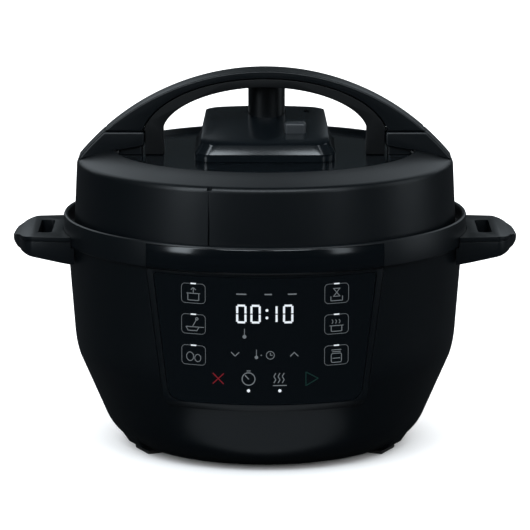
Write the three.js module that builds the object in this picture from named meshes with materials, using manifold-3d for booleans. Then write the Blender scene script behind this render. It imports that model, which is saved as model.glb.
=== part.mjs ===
// Electric pressure cooker of the 3.8 litre class, as separate solids. Millimetres, +Z up.
// The origin is on the floor under the middle of the cooker: +X to the user's right, -Y to the user.

import * as THREE from "three";
import { mergeVertices } from "three/addons/utils/BufferGeometryUtils.js";
import Module from "manifold-3d";

const wasm = await Module();
wasm.setup();

// Driving dimensions.
const GAP = 0.3; // seating gap between pieces that touch
const ROUND = 32; // steps round the large rings
const COARSE = 20; // steps round the inner rings
const SMALL = 12; // steps round pins, pipes and bosses
const SCREW = 8; // steps round a screw
const HANDLE_TIP = 163; // tip of a side handle, from the axis
const RIM_RADIUS = 130.3; // outside of the condensation rim
const RIM_TOP = 151.4;
const STRIP_TOP = 149.7; // upper edge of the glossy strip let into the rim
const BOWL_TOP = 134; // seam between the body shell and the rim
const BOWL_TOP_RADIUS = 128.2;
const WALL = 2.6; // moulded wall of the body shell
const LID_EDGE = { bottomRadius: 123.4, bottom: 143, topRadius: 121.5, top: 183.5 };
const RING_INNER = { radius: 97, top: 192.8 }; // inner edge of the lid's top ring
const PANEL_TOP = 189.3; // face of the glossy centre panel
const CEILING = 183.4; // underside of the lid shell
const ARCH = { radius: 156, crown: 244, halfWidth: 12 };
const ARCH_SEAM = 205; // joint between the handle cap and its feet
const PILLAR = { inner: 65, outer: 77 };
const VALVE = { x: 1, y: 25, radius: 12 };
const FLOAT = { x: 27, y: 25, radius: 3, tip: 1.6 };
const BUTTON = { x: 19.4, y: -11, halfWidth: 6.9, halfDepth: 5, top: 211 };
const LEVER_AXIS = { y: 7, z: 197 }; // line of the release lever's pin
const POT = { radius: 101.5, wall: 0.8, floor: 39.8, rim: 155.8 };
const LINER = { radius: 105.3, wall: 1, floor: 26, flange: 153 };
const LUGS = 6;
const BASE_LUG_DEGREES = 28;
const LID_LUG_DEGREES = 24;
const FOOT = { radius: 82, degrees: [25, 155, 205, 335], length: 21, width: 12, height: 2.7 };
const SCREW_RADIUS = 80.6; // circle of the base screws
const INLET = { halfWidth: 16, bottom: 9, top: 32, face: 121, back: 106.8 };
const CUP = { halfWidth: 23.5, bottom: 90.3, top: 130, inner: 111.5 };

const deg = THREE.MathUtils.degToRad;

// A closed geometry as a solid that can be joined and cut.
function solid(geometry) {
  const bare = geometry.clone();
  bare.deleteAttribute("normal");
  bare.deleteAttribute("uv");
  const merged = mergeVertices(bare, 1e-4);
  const index = merged.index.array;
  const kept = [];
  for (let i = 0; i < index.length; i += 3) {
    const [a, b, c] = [index[i], index[i + 1], index[i + 2]];
    if (a !== b && b !== c && c !== a) kept.push(a, b, c);
  }
  const mesh = new wasm.Mesh({
    numProp: 3,
    vertProperties: new Float32Array(merged.attributes.position.array),
    triVerts: new Uint32Array(kept),
  });
  return new wasm.Manifold(mesh);
}

// A ring or disc turned about the Z axis from a closed outline of [radius, height] points.
function turned(outline, steps = ROUND) {
  let area = 0;
  outline.forEach(([r, z], i) => {
    const [nextR, nextZ] = outline[(i + 1) % outline.length];
    area += r * nextZ - nextR * z;
  });
  const ordered = area > 0 ? outline : [...outline].reverse();
  const closed = [...ordered, ordered[0]].map(([r, z]) => new THREE.Vector2(r, z));
  return solid(new THREE.LatheGeometry(closed, steps).rotateX(Math.PI / 2));
}

function prism(shape, depth, bevel, curveSegments = 8) {
  const options = { depth: depth - 2 * bevel, curveSegments, bevelEnabled: bevel > 0 };
  Object.assign(options, { bevelSize: bevel, bevelThickness: bevel, bevelOffset: -bevel, bevelSegments: 1 });
  return new THREE.ExtrudeGeometry(shape, options).translate(0, 0, bevel);
}

// An outline in plan, from one height to another.
function upright(shape, low, high, bevel = 0, curveSegments = 8) {
  return solid(prism(shape, high - low, bevel, curveSegments).translate(0, 0, low));
}

// An outline seen from the front (x, z), from one depth to another.
function facing(shape, front, back, bevel = 0, curveSegments = 8) {
  const geometry = prism(shape, back - front, bevel, curveSegments).rotateX(Math.PI / 2);
  return solid(geometry.translate(0, back, 0));
}

// An outline seen from the side (y, z), from one x to another.
function sideways(shape, left, right) {
  const turn = new THREE.Matrix4().makeBasis(
    new THREE.Vector3(0, 1, 0),
    new THREE.Vector3(0, 0, 1),
    new THREE.Vector3(1, 0, 0),
  );
  return solid(prism(shape, right - left, 0).applyMatrix4(turn).translate(left, 0, 0));
}

function block([x0, y0, z0], [x1, y1, z1]) {
  const box = new THREE.BoxGeometry(x1 - x0, y1 - y0, z1 - z0);
  return solid(box.translate((x0 + x1) / 2, (y0 + y1) / 2, (z0 + z1) / 2));
}

// An upright round bar.
function rod(x, y, radius, low, high, steps = SMALL) {
  const bar = new THREE.CylinderGeometry(radius, radius, high - low, steps).rotateX(Math.PI / 2);
  return solid(bar.translate(x, y, (low + high) / 2));
}

// A round bar along X.
function crossRod(radius, left, right, y, z, steps = SMALL) {
  const bar = new THREE.CylinderGeometry(radius, radius, right - left, steps).rotateZ(Math.PI / 2);
  return solid(bar.translate((left + right) / 2, y, z));
}

function outlineOf(points) {
  return new THREE.Shape(points.map(([u, v]) => new THREE.Vector2(u, v)));
}

function roundedRectangle(left, right, low, high, radius) {
  const shape = new THREE.Shape();
  shape.moveTo(left + radius, low);
  shape.lineTo(right - radius, low);
  shape.absarc(right - radius, low + radius, radius, -Math.PI / 2, 0);
  shape.lineTo(right, high - radius);
  shape.absarc(right - radius, high - radius, radius, 0, Math.PI / 2);
  shape.lineTo(left + radius, high);
  shape.absarc(left + radius, high - radius, radius, Math.PI / 2, Math.PI);
  shape.lineTo(left, low + radius);
  shape.absarc(left + radius, low + radius, radius, Math.PI, 1.5 * Math.PI);
  return shape;
}

// A part of a flat ring, centred on an angle.
function sector(inner, outer, centreDegrees, widthDegrees, low, high) {
  const from = deg(centreDegrees - widthDegrees / 2);
  const to = deg(centreDegrees + widthDegrees / 2);
  const shape = new THREE.Shape();
  shape.absarc(0, 0, outer, from, to, false);
  shape.absarc(0, 0, inner, to, from, true);
  return upright(shape, low, high, 0, 4);
}

// A coil spring about the Z axis, as a bar swept along a helix.
function coil(radius, wire, low, high, turns) {
  const points = [];
  const steps = turns * 8;
  for (let i = 0; i <= steps; i++) {
    const angle = (i / steps) * turns * 2 * Math.PI;
    const height = low + wire + (i / steps) * (high - low - 2 * wire);
    points.push(new THREE.Vector3(radius * Math.cos(angle), radius * Math.sin(angle), height));
  }
  const section = new THREE.Shape();
  section.absarc(0, 0, wire, 0, 2 * Math.PI);
  const path = new THREE.CatmullRomCurve3(points);
  const options = { steps, extrudePath: path, curveSegments: 2, bevelEnabled: false };
  return solid(new THREE.ExtrudeGeometry(section, options));
}

// Screw with its head at the bottom and its shank pointing up.
function screw(headRadius, headHeight, shankRadius, length) {
  return turned(
    [
      [0, 0],
      [headRadius, 0],
      [headRadius, headHeight],
      [shankRadius, headHeight],
      [shankRadius, length],
      [0, length],
    ],
    SCREW,
  );
}

// Points of a path made of straight and curved stretches, as [radius, height] pairs.
function pathPoints(path, steps = 3) {
  return path.getPoints(steps).map((point) => [point.x, point.y]);
}

// ---------------------------------------------------------------- Base

// Outside of the bowl from the floor edge to the seam.
function bowlOutside() {
  const path = new THREE.Path();
  path.moveTo(84.5, 3);
  path.quadraticCurveTo(98, 8.5, 103.6, 20.5);
  path.lineTo(120.4, 59.5);
  path.quadraticCurveTo(123, 65.5, 123.7, 77);
  path.lineTo(BOWL_TOP_RADIUS, BOWL_TOP);
  return pathPoints(path);
}

function bowlInside() {
  const path = new THREE.Path();
  path.moveTo(86.5, 5.8);
  path.quadraticCurveTo(96, 11, 101, 22);
  path.lineTo(117.8, 60.5);
  path.quadraticCurveTo(120.4, 66, 121.1, 77);
  path.lineTo(BOWL_TOP_RADIUS - WALL, BOWL_TOP);
  return pathPoints(path);
}

// The whole bowl as a lump, used to make pieces flush with it or clear of it.
function bowlLump(outward = 0) {
  const edge = bowlOutside().map(([r, z]) => [r + outward, z]);
  return turned([[0, 3], ...edge, [0, BOWL_TOP]]);
}

// Front outline of the control panel frame, grown by a margin.
function panelOutline(margin) {
  const halfTop = 73.6 + margin;
  const halfBottom = 63.9 + margin;
  const bottom = 45 - margin;
  const shape = new THREE.Shape();
  shape.moveTo(-halfTop, BOWL_TOP - 0.1);
  shape.lineTo(-halfBottom, bottom + 9);
  shape.quadraticCurveTo(-halfBottom + 1, bottom, -halfBottom + 10, bottom);
  shape.lineTo(halfBottom - 10, bottom);
  shape.quadraticCurveTo(halfBottom - 1, bottom, halfBottom, bottom + 9);
  shape.lineTo(halfTop, BOWL_TOP - 0.1);
  return shape;
}

// Front outline of the touch panel, grown by a margin.
function touchOutline(margin) {
  const top = 132 + margin;
  const bottom = 50.5 - margin;
  const halfTop = 69 + margin;
  const halfBottom = 60 + margin;
  const corner = 9;
  const shape = new THREE.Shape();
  shape.moveTo(-halfTop + 2, top);
  shape.lineTo(-halfTop, top - 3);
  shape.lineTo(-halfBottom - 1, bottom + corner);
  shape.quadraticCurveTo(-halfBottom, bottom, -halfBottom + corner, bottom);
  shape.lineTo(halfBottom - corner, bottom);
  shape.quadraticCurveTo(halfBottom, bottom, halfBottom + 1, bottom + corner);
  shape.lineTo(halfTop, top - 3);
  shape.lineTo(halfTop - 2, top);
  return shape;
}

// Curved wall that the control panel's face follows: it leans a little and stands proud at the bottom.
function panelWall(outward, thickness) {
  const low = 121.4 + outward;
  const high = 128.1 + outward;
  return turned([
    [115 + outward, 44],
    [low, 50.5],
    [high, BOWL_TOP - 0.2],
    [high - thickness, BOWL_TOP - 0.2],
    [low - thickness, 50.5],
    [115 + outward - thickness, 44],
  ]);
}

// Lobe over a foot: it carries the bowl's side straight down to the pad.
function footBoss(degrees) {
  const side = outlineOf([[84.4, 3], [89, 3], [91.9, 4.7], [96.2, 10.9], [96.2, 12], [84.4, 12]]);
  return facing(side, -12, 12).rotate([0, 0, degrees]);
}

function bodyShell() {
  let shell = turned([[78, 3], ...bowlOutside(), ...bowlInside().reverse(), [78, 5.8]]);
  FOOT.degrees.forEach((degrees) => {
    shell = shell.add(footBoss(degrees));
  });
  const pocket = block([-26, 110, 88], [26, 128, BOWL_TOP]).intersect(bowlLump());
  shell = shell.add(pocket);
  shell = shell.subtract(block([-24.3, 111.2, 89.9], [24.3, 140, 131.5]));
  shell = shell.subtract(facing(panelOutline(GAP), -140, -60));
  const inletHole = INLET.halfWidth + GAP;
  shell = shell.subtract(
    block([-inletHole, 85, INLET.bottom - GAP], [inletHole, 140, INLET.top + GAP]),
  );
  [0, 90, 180, 270].forEach((degrees) => {
    const hole = rod(SCREW_RADIUS, 0, 1.9, 0, 12).add(rod(SCREW_RADIUS, 0, 3, 0, 5));
    shell = shell.subtract(hole.rotate([0, 0, degrees]));
  });
  shell = shell.subtract(crossRod(2.1, -140, 140, 0, 127.5));
  return shell;
}

// Ring round the lid with the trough that catches drips, and the seat of the liner's flange.
function condensationRim() {
  let rim = turned([
    [126.6, BOWL_TOP + GAP],
    [129.4, BOWL_TOP + GAP],
    [RIM_RADIUS, BOWL_TOP + 1.4],
    [RIM_RADIUS, RIM_TOP - 1.2],
    [RIM_RADIUS - 0.8, RIM_TOP],
    [127.7, RIM_TOP],
    [127, RIM_TOP - 0.8],
    [126.6, 141.5],
    [111.2, 140.4],
    [111.2, LINER.flange - GAP],
    [109.2, LINER.flange - GAP],
    [109.2, 137.6],
    [124.6, 138],
    [126.2, 136.8],
  ]);
  const recess = turned([
    [128.8, 134.9],
    [135, 134.9],
    [135, STRIP_TOP + GAP],
    [128.8, STRIP_TOP + GAP],
  ]).intersect(block([-73.9, -140, 130], [73.9, 0, 152]));
  rim = rim.subtract(recess);
  return rim.subtract(rod(0, 118, 3, 130, 145));
}

// Glossy strip let into the front of the rim above the control panel.
function rimTrimBand() {
  const strip = turned([
    [129.1, 135.2],
    [RIM_RADIUS, 135.2],
    [RIM_RADIUS, STRIP_TOP],
    [129.1, STRIP_TOP],
  ]);
  return strip.intersect(block([-73.6, -140, 130], [73.6, 0, 152]));
}

// Right-hand side handle: a tray with a slot that holds the lid upright.
function sideHandle() {
  const plan = new THREE.Shape();
  plan.moveTo(112, -41);
  plan.lineTo(131, -41);
  plan.lineTo(148, -38.5);
  plan.quadraticCurveTo(155, -36, 157.5, -22);
  plan.quadraticCurveTo(2 * HANDLE_TIP - 157.5, 0, 157.5, 22);
  plan.quadraticCurveTo(155, 36, 148, 38.5);
  plan.lineTo(131, 41);
  plan.lineTo(112, 41);
  plan.holes.push(roundedRectangle(137, 146, -22.5, 22.5, 3));
  const side = outlineOf([
    [112, 123.5],
    [125, 123.5],
    [151, 128.4],
    [159.5, 131.2],
    [162.3, 133.3],
    [HANDLE_TIP, 135.6],
    [161.4, 138.2],
    [157, 139.8],
    [150, 141],
    [112, 141],
  ]);
  const clearOf = turned([
    [0, 110],
    [BOWL_TOP_RADIUS + GAP, 110],
    [BOWL_TOP_RADIUS + GAP, BOWL_TOP],
    [RIM_RADIUS + GAP, BOWL_TOP],
    [RIM_RADIUS + GAP, 145],
    [0, 145],
  ]);
  const tray = upright(plan, 115, 145, 0, 4).intersect(facing(side, -45, 45));
  return tray.subtract(clearOf).subtract(crossRod(2.1, 120, 135, 0, 127.5));
}

function panelBezel() {
  const frame = panelWall(0.4, 3.6).intersect(facing(panelOutline(0), -140, -60));
  return frame.subtract(facing(touchOutline(GAP), -140, -60));
}

function touchPanel() {
  return panelWall(0, 2.2).intersect(facing(touchOutline(0), -140, -60));
}

function displayModule() {
  return block([-25, -118.5, 96], [25, -112.9, 122]);
}

function controlBoard() {
  const board = block([-32, -112.6, 62], [32, -111, 126]);
  const chip = block([-7, -111, 86], [7, -110, 98]);
  return board.add(chip);
}

function powerBoard() {
  const board = block([-38, 28, 10.8], [38, 70, 12.4]);
  const relay = block([-30, 38, 12], [-12, 52, 21]);
  const transformer = block([12, 34, 12], [34, 56, 24]);
  return board.add(relay).add(transformer).add(rod(0, 45, 6, 12, 24));
}

// Drawn steel can that holds the heating plate and the inner pot, with the bayonet lugs on its flange.
function liner() {
  const inner = LINER.radius - LINER.wall;
  const flangeTop = LINER.flange + 2.5;
  let can = turned([
    [14, LINER.floor],
    [94, LINER.floor],
    [LINER.radius, 38.5],
    [LINER.radius, LINER.flange],
    [111.5, LINER.flange],
    [111.5, flangeTop],
    [inner, flangeTop],
    [inner, 39],
    [93.4, LINER.floor + LINER.wall],
    [14, LINER.floor + LINER.wall],
  ]);
  for (let i = 0; i < LUGS; i++) {
    const centre = (i * 360) / LUGS;
    can = can.add(sector(110, 116, centre, BASE_LUG_DEGREES, LINER.flange, flangeTop));
  }
  [-62, 62].forEach((x) => {
    can = can.subtract(rod(x, 0, 4, 20, 29));
  });
  return can;
}

function heatShield() {
  return turned([[108.4, 44], [109, 44], [109, 130], [108.4, 130]], COARSE);
}

// Cast heating plate with a hole for the sensor.
function heatingPlate() {
  return turned([[12.5, 30], [84, 30], [84, 37], [81, 39.5], [12.5, 39.5]], COARSE);
}

function heaterTerminal() {
  return rod(0, 0, 2.5, 0, 12.7, 8);
}

function temperatureSensor() {
  return turned(
    [
      [0, 22],
      [3, 22],
      [3, 36.6],
      [9.8, 36.6],
      [9.8, 34.5],
      [11, 34.5],
      [11, 38.6],
      [10, 39.4],
      [0, 39.4],
    ],
    SMALL,
  );
}

// Cup under the liner that the sensor's spring stands in.
function sensorBracket() {
  return turned(
    [
      [3.6, 20],
      [13.2, 20],
      [13.2, 24.5],
      [17.5, 24.5],
      [17.5, 25.7],
      [12, 25.7],
      [12, 21.2],
      [3.6, 21.2],
    ],
    SMALL,
  );
}

// Bottom cover with vent slots and the posts of the power board.
function basePlate() {
  let plate = turned([[0, 6.3], [84, 6.3], [84, 8.3], [0, 8.3]], COARSE);
  for (let i = 0; i < 8; i++) {
    const slot = block([42, -2, 5], [66, 2, 10]).rotate([0, 0, 22.5 + i * 45]);
    plate = plate.subtract(slot);
  }
  [0, 90, 180, 270].forEach((degrees) => {
    plate = plate.subtract(rod(SCREW_RADIUS, 0, 1.9, 5, 10).rotate([0, 0, degrees]));
  });
  [[-34, 32], [34, 32], [-34, 66], [34, 66]].forEach(([x, y]) => {
    plate = plate.add(rod(x, y, 2.5, 8, 10.5, 8));
  });
  return plate;
}

// Rubber foot pad, its long side round the base.
function footPad() {
  const shape = roundedRectangle(-FOOT.width / 2, FOOT.width / 2, -FOOT.length / 2, FOOT.length / 2, 4);
  return upright(shape, 0, FOOT.height, 0, 2);
}

// Mains inlet: a socket open to the rear, with its terminal block inside the base.
function powerInlet() {
  const face = roundedRectangle(-INLET.halfWidth, INLET.halfWidth, INLET.bottom, INLET.top, 3);
  const cavity = roundedRectangle(-12, 12, 12.5, 28.5, 3);
  const socket = facing(face, INLET.back, INLET.face, 0, 3);
  const terminals = block([-13, 94, 9.3], [13, INLET.back + 1, 25]);
  return socket.add(terminals).subtract(facing(cavity, INLET.back + 1.7, INLET.face + 5, 0, 3));
}

function inletPin() {
  return block([-1, 0, -2], [1, 9.7, 2]);
}

// Cup behind the body that collects the drips from the trough.
function condensationCup() {
  const { halfWidth, bottom, top, inner } = CUP;
  const outside = block([-halfWidth, inner, bottom], [halfWidth, 140, top]).intersect(bowlLump());
  const inside = block([-halfWidth + 2, inner + 2, bottom + 2], [halfWidth - 2, 140, top + 5]);
  return outside.subtract(inside.intersect(bowlLump(-2.2)));
}

// ---------------------------------------------------------------- Inner pot

function innerPot() {
  const { radius, wall, floor, rim } = POT;
  const outside = new THREE.Path();
  outside.moveTo(0, floor);
  outside.lineTo(91.5, floor);
  outside.quadraticCurveTo(radius, floor, radius, floor + 10);
  outside.lineTo(radius, rim - 1);
  outside.quadraticCurveTo(radius, rim, radius + 1, rim);
  outside.lineTo(109, rim);
  outside.absarc(109, rim + 1, 1, -Math.PI / 2, Math.PI / 2, false);
  outside.lineTo(radius, rim + 2);
  const inside = new THREE.Path();
  inside.moveTo(0, floor + 2.4);
  inside.lineTo(90.5, floor + 2.4);
  inside.quadraticCurveTo(radius - wall, floor + 2.4, radius - wall, floor + 12);
  inside.lineTo(radius - wall, rim + 1);
  return turned([...pathPoints(outside), ...pathPoints(inside).reverse()]);
}

// ---------------------------------------------------------------- Lid

function lidShell() {
  const { bottomRadius, bottom, topRadius, top } = LID_EDGE;
  const skin = 2.5;
  let shell = turned([
    [bottomRadius, bottom],
    [topRadius, top],
    [topRadius - 0.7, top + 2.1],
    [topRadius - 2.7, top + 3.5],
    [RING_INNER.radius + 0.4, RING_INNER.top],
    [RING_INNER.radius, RING_INNER.top - 0.4],
    [RING_INNER.radius, PANEL_TOP - 2.9],
    [0, PANEL_TOP - 2.9],
    [0, CEILING],
    [RING_INNER.radius + skin, CEILING],
    [RING_INNER.radius + skin, RING_INNER.top - 3.2],
    [topRadius - 3.3, top + 0.9],
    [topRadius - skin, top - 1],
    [bottomRadius - skin, bottom],
  ]);
  const groove = block([LID_EDGE.topRadius - 2.6, -0.6, 140], [130, 0.6, 190]);
  const grooveDegrees = 253.6;
  shell = shell.subtract(groove.subtract(lidGrooveFloor()).rotate([0, 0, grooveDegrees]));
  pillars().forEach(([x, y]) => {
    shell = shell.add(rod(x, y, 5, 168.3, CEILING + 1));
    shell = shell.subtract(rod(x, y, 2.2, 160, 181));
  });
  return shell.subtract(lidHoles());
}

// What the groove in the skirt leaves of the wall.
function lidGrooveFloor() {
  const depth = 0.8;
  const { bottomRadius, bottom, topRadius, top } = LID_EDGE;
  return turned([
    [0, bottom - 5],
    [bottomRadius - depth, bottom - 5],
    [topRadius - depth, top],
    [topRadius - 3, top + 3],
    [0, top + 3],
  ]);
}

// Places of the posts that carry the steel inner lid.
function pillars() {
  return [90, 210, 330].map((degrees) => [60 * Math.cos(deg(degrees)), 60 * Math.sin(deg(degrees))]);
}

// Holes through the lid for the vent pipe, the float valve and the handle's screws.
function lidHoles() {
  const low = CEILING - 5;
  const high = PANEL_TOP + 5;
  const vent = rod(VALVE.x, VALVE.y, 5.6, low, high);
  const float = rod(FLOAT.x, FLOAT.y, 3.8, low, high);
  const screws = rod(-87, 0, 2.3, low, high).add(rod(87, 0, 2.3, low, high));
  return vent.add(float).add(screws);
}

function lidCenterPanel() {
  const radius = RING_INNER.radius - GAP;
  const low = PANEL_TOP - 2.6;
  const disc = turned([[0, low], [radius, low], [radius, PANEL_TOP], [0, PANEL_TOP]]);
  return disc.subtract(lidHoles());
}

// Everything under the lid's top surface, grown by the seating gap.
function lidTopLump() {
  const { topRadius, top } = LID_EDGE;
  return turned([
    [0, 170],
    [topRadius + 5, 170],
    [topRadius + 5, top],
    [topRadius + GAP, top + 0.4],
    [topRadius - 0.7 + GAP, top + 2.1 + GAP],
    [topRadius - 2.7 + GAP, top + 3.5 + GAP],
    [RING_INNER.radius, RING_INNER.top + GAP + 0.1],
    [RING_INNER.radius - 1, RING_INNER.top + GAP],
    [RING_INNER.radius - 1, PANEL_TOP + GAP],
    [0, PANEL_TOP + GAP],
  ]);
}

// Angle at which the arch's outer circle comes down to a height.
function archAngle(height) {
  const centre = ARCH.crown - ARCH.radius;
  return Math.asin((height - centre) / ARCH.radius);
}

// Upper band of the carrying handle.
function handleCap() {
  const centre = ARCH.crown - ARCH.radius;
  const start = archAngle(ARCH_SEAM);
  const inner = 78.8;
  const shape = new THREE.Shape();
  shape.absarc(0, centre, ARCH.radius, start, Math.PI - start, false);
  shape.lineTo(-inner, ARCH_SEAM);
  shape.bezierCurveTo(-73.5, 222, -45, 239, 0, 239);
  shape.bezierCurveTo(45, 239, 73.5, 222, inner, ARCH_SEAM);
  return facing(shape, -ARCH.halfWidth, ARCH.halfWidth, 1.4, 10);
}

// Inner arch that the fingers close on, running down into the two pillars.
function handleGrip() {
  const { inner, outer } = PILLAR;
  const foot = PANEL_TOP + GAP;
  const seam = ARCH_SEAM - GAP;
  const shape = new THREE.Shape();
  shape.moveTo(outer, foot);
  shape.lineTo(outer, seam);
  shape.lineTo(outer + 1.3, ARCH_SEAM);
  shape.bezierCurveTo(73, 221.6, 45, 238.6, 0, 238.6);
  shape.bezierCurveTo(-45, 238.6, -73, 221.6, -outer - 1.3, ARCH_SEAM);
  shape.lineTo(-outer, seam);
  shape.lineTo(-outer, foot);
  shape.lineTo(-inner, foot);
  shape.lineTo(-inner - 0.5, 204);
  shape.bezierCurveTo(-66.5, 217.5, -38, 233, 0, 233);
  shape.bezierCurveTo(38, 233, 66.5, 217.5, inner + 0.5, 204);
  shape.lineTo(inner, foot);
  return facing(shape, -10.5, 10.5, 0, 8);
}

// Right-hand foot of the handle, screwed down through the lid.
function handleFoot() {
  const centre = ARCH.crown - ARCH.radius;
  const seam = ARCH_SEAM - GAP;
  const left = PILLAR.outer + GAP + 0.1;
  const shape = new THREE.Shape();
  shape.moveTo(left, seam);
  shape.lineTo(left, 195);
  shape.lineTo(96, 191.5);
  shape.lineTo(96, 182);
  shape.lineTo(119.8, 182);
  shape.absarc(0, centre, ARCH.radius, archAngle(187.7), archAngle(seam), false);
  const skirt = facing(shape, -ARCH.halfWidth, ARCH.halfWidth, 0, 6);
  const stem = block([left + 1.6, -9, PANEL_TOP], [94, 9, 200]);
  return skirt.add(stem).subtract(lidTopLump()).subtract(rod(87, 0, 2.3, 180, 200.5));
}

// Cover of the valves: flat front, sloping glossy top, open underneath.
function valveHousing() {
  const low = PANEL_TOP + GAP;
  const plan = upright(roundedRectangle(-45, 45, -41, 41, 12), low, 222, 0, 3);
  const side = sideways(
    outlineOf([[-41, low], [41, low], [41, 208], [39.5, 212.5], [36, 214.5], [-38, 200], [-41, 194]]),
    -46,
    46,
  );
  const front = facing(
    outlineOf([[-45, low], [45, low], [45, 194], [41.5, 200], [38.5, 213.5], [0, 215.5], [-38.5, 213.5], [-41.5, 200], [-45, 194]]),
    -42,
    42,
  );
  const planInside = upright(roundedRectangle(-42.5, 42.5, -38.5, 38.5, 10), low - 5, 222, 0, 2);
  const sideInside = sideways(
    outlineOf([[-38.5, 180], [38.5, 180], [38.5, 208], [35.5, 211.6], [-35.5, 198], [-38.5, 193]]),
    -46,
    46,
  );
  const frontInside = facing(
    outlineOf([[-42.5, 180], [42.5, 180], [42.5, 193], [38.8, 199], [36, 211.2], [-36, 211.2], [-38.8, 199], [-42.5, 193]]),
    -42,
    42,
  );
  const inside = planInside.intersect(sideInside).intersect(frontInside);
  let housing = plan.intersect(side).intersect(front).subtract(inside);
  [-14, 28.5].forEach((x) => {
    const post = block([x, LEVER_AXIS.y - 4, LEVER_AXIS.z - 3.5], [x + 3.5, LEVER_AXIS.y + 4, 207]);
    housing = housing.add(post);
  });
  housing = housing.subtract(crossRod(1.9, -20, 40, LEVER_AXIS.y, LEVER_AXIS.z));
  housing = housing.subtract(rod(VALVE.x, VALVE.y, VALVE.radius + 0.6, 205, 225, COARSE));
  housing = housing.subtract(rod(FLOAT.x, FLOAT.y, FLOAT.tip + 0.6, 205, 225));
  const { x, y, halfWidth, halfDepth } = BUTTON;
  const slot = roundedRectangle(x - halfWidth - 0.5, x + halfWidth + 0.5, y - halfDepth - 0.5, y + halfDepth + 0.5, 3);
  return housing.subtract(upright(slot, 196, 215, 0, 2));
}

// Weighted knob that stands on the vent pipe.
function steamReleaseValve() {
  const bore = 5.4;
  const knob = turned(
    [
      [bore, 198.2],
      [9, 198.2],
      [9, 206.5],
      [VALVE.radius, 207.5],
      [VALVE.radius, 230.5],
      [VALVE.radius - 1.6, 232.5],
      [0, 232.5],
      [0, 226.6],
      [bore, 226.6],
    ],
    COARSE,
  );
  return knob.translate([VALVE.x, VALVE.y, 0]);
}

function steamVentPipe() {
  const bore = 1.6;
  const radius = 4.8;
  return turned(
    [
      [bore, 160],
      [radius, 160],
      [radius, 168.3],
      [8.5, 168.3],
      [8.5, 171],
      [radius, 171],
      [radius, 226],
      [bore, 226],
    ],
    SMALL,
  ).translate([VALVE.x, VALVE.y, 0]);
}

function quickReleaseButton() {
  const { x, y, halfWidth, halfDepth } = BUTTON;
  const shape = roundedRectangle(x - halfWidth, x + halfWidth, y - halfDepth, y + halfDepth, 2.5);
  return upright(shape, 201, BUTTON.top, 0.8, 2).add(rod(x, y, 2, 198.4, 202));
}

// Lever under the housing: the button pushes its front arm and its rear fork raises the knob.
function releaseLever() {
  const { y, z } = LEVER_AXIS;
  const low = z - 0.8;
  const high = z + 0.8;
  const hub = crossRod(3.2, -9, 25, y, z);
  const frontArm = block([BUTTON.x - 3.7, BUTTON.y - 4, low], [BUTTON.x + 3.7, y, high]);
  const leftFork = block([-9, y, low], [-5, 26, high]);
  const rightFork = block([7, y, low], [11, 26, high]);
  return hub.add(frontArm).add(leftFork).add(rightFork).subtract(crossRod(1.8, -20, 40, y, z));
}

function floatValve() {
  const stem = 1.5;
  const { x, y, radius, tip } = FLOAT;
  const pin = turned(
    [[0, 157], [stem, 157], [stem, 171], [radius, 171], [radius, 203], [tip, 204], [tip, 211], [0, 211]],
    SMALL,
  );
  return pin.translate([x, y, 0]);
}

function floatValveCap() {
  const cap = turned([[1.8, 157.5], [4.6, 157.5], [4.6, 160.5], [3, 162], [1.8, 162]], SMALL);
  return cap.translate([FLOAT.x, FLOAT.y, 0]);
}

// Slotted cover that keeps food out of the vent pipe.
function antiBlockShield() {
  const cup = turned(
    [
      [0, 154.5],
      [9.5, 154.5],
      [10.5, 155.5],
      [10.5, 166],
      [9.3, 166],
      [9.3, 155.9],
      [0, 155.9],
    ],
    SMALL,
  );
  const slot = block([-12, -1.2, 158], [12, 1.2, 163.5]);
  const slots = [0, 45, 90, 135].map((degrees) => slot.rotate([0, 0, degrees]));
  return slots.reduce((rest, cut) => rest.subtract(cut), cup).translate([VALVE.x, VALVE.y, 0]);
}

// Steel inner lid with the lugs that turn under the liner's.
function lidPan() {
  const outer = 118.4;
  const inner = 117.2;
  let pan = turned([
    [0, 166.3],
    [inner, 166.3],
    [inner, 149.5],
    [outer, 149.5],
    [outer, 166.6],
    [inner, 167.7],
    [0, 167.7],
  ]);
  for (let i = 0; i < LUGS; i++) {
    const centre = ((i + 0.5) * 360) / LUGS;
    pan = pan.add(sector(112, inner + 0.7, centre, LID_LUG_DEGREES, 149.5, 151.5));
  }
  pan = pan.subtract(rod(VALVE.x, VALVE.y, 5.2, 160, 172));
  pan = pan.subtract(rod(FLOAT.x, FLOAT.y, 2.2, 160, 172));
  pillars().forEach(([x, y]) => {
    pan = pan.subtract(rod(x, y, 2.2, 160, 172));
  });
  return pan;
}

function sealingRing() {
  return turned(
    [
      [99, 158.1],
      [110.5, 158.1],
      [112, 160],
      [112, 165.9],
      [104, 165.9],
      [102.5, 163],
      [99, 160.2],
    ],
    COARSE,
  );
}

// Wire hoop that keeps the sealing ring in place.
function sealRack() {
  const wire = 1.1;
  const outline = [];
  for (let i = 0; i < 6; i++) {
    outline.push([97 + wire * Math.cos(deg(i * 60)), 163 + wire * Math.sin(deg(i * 60))]);
  }
  return turned(outline, COARSE);
}

// ---------------------------------------------------------------- Scene graph

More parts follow.
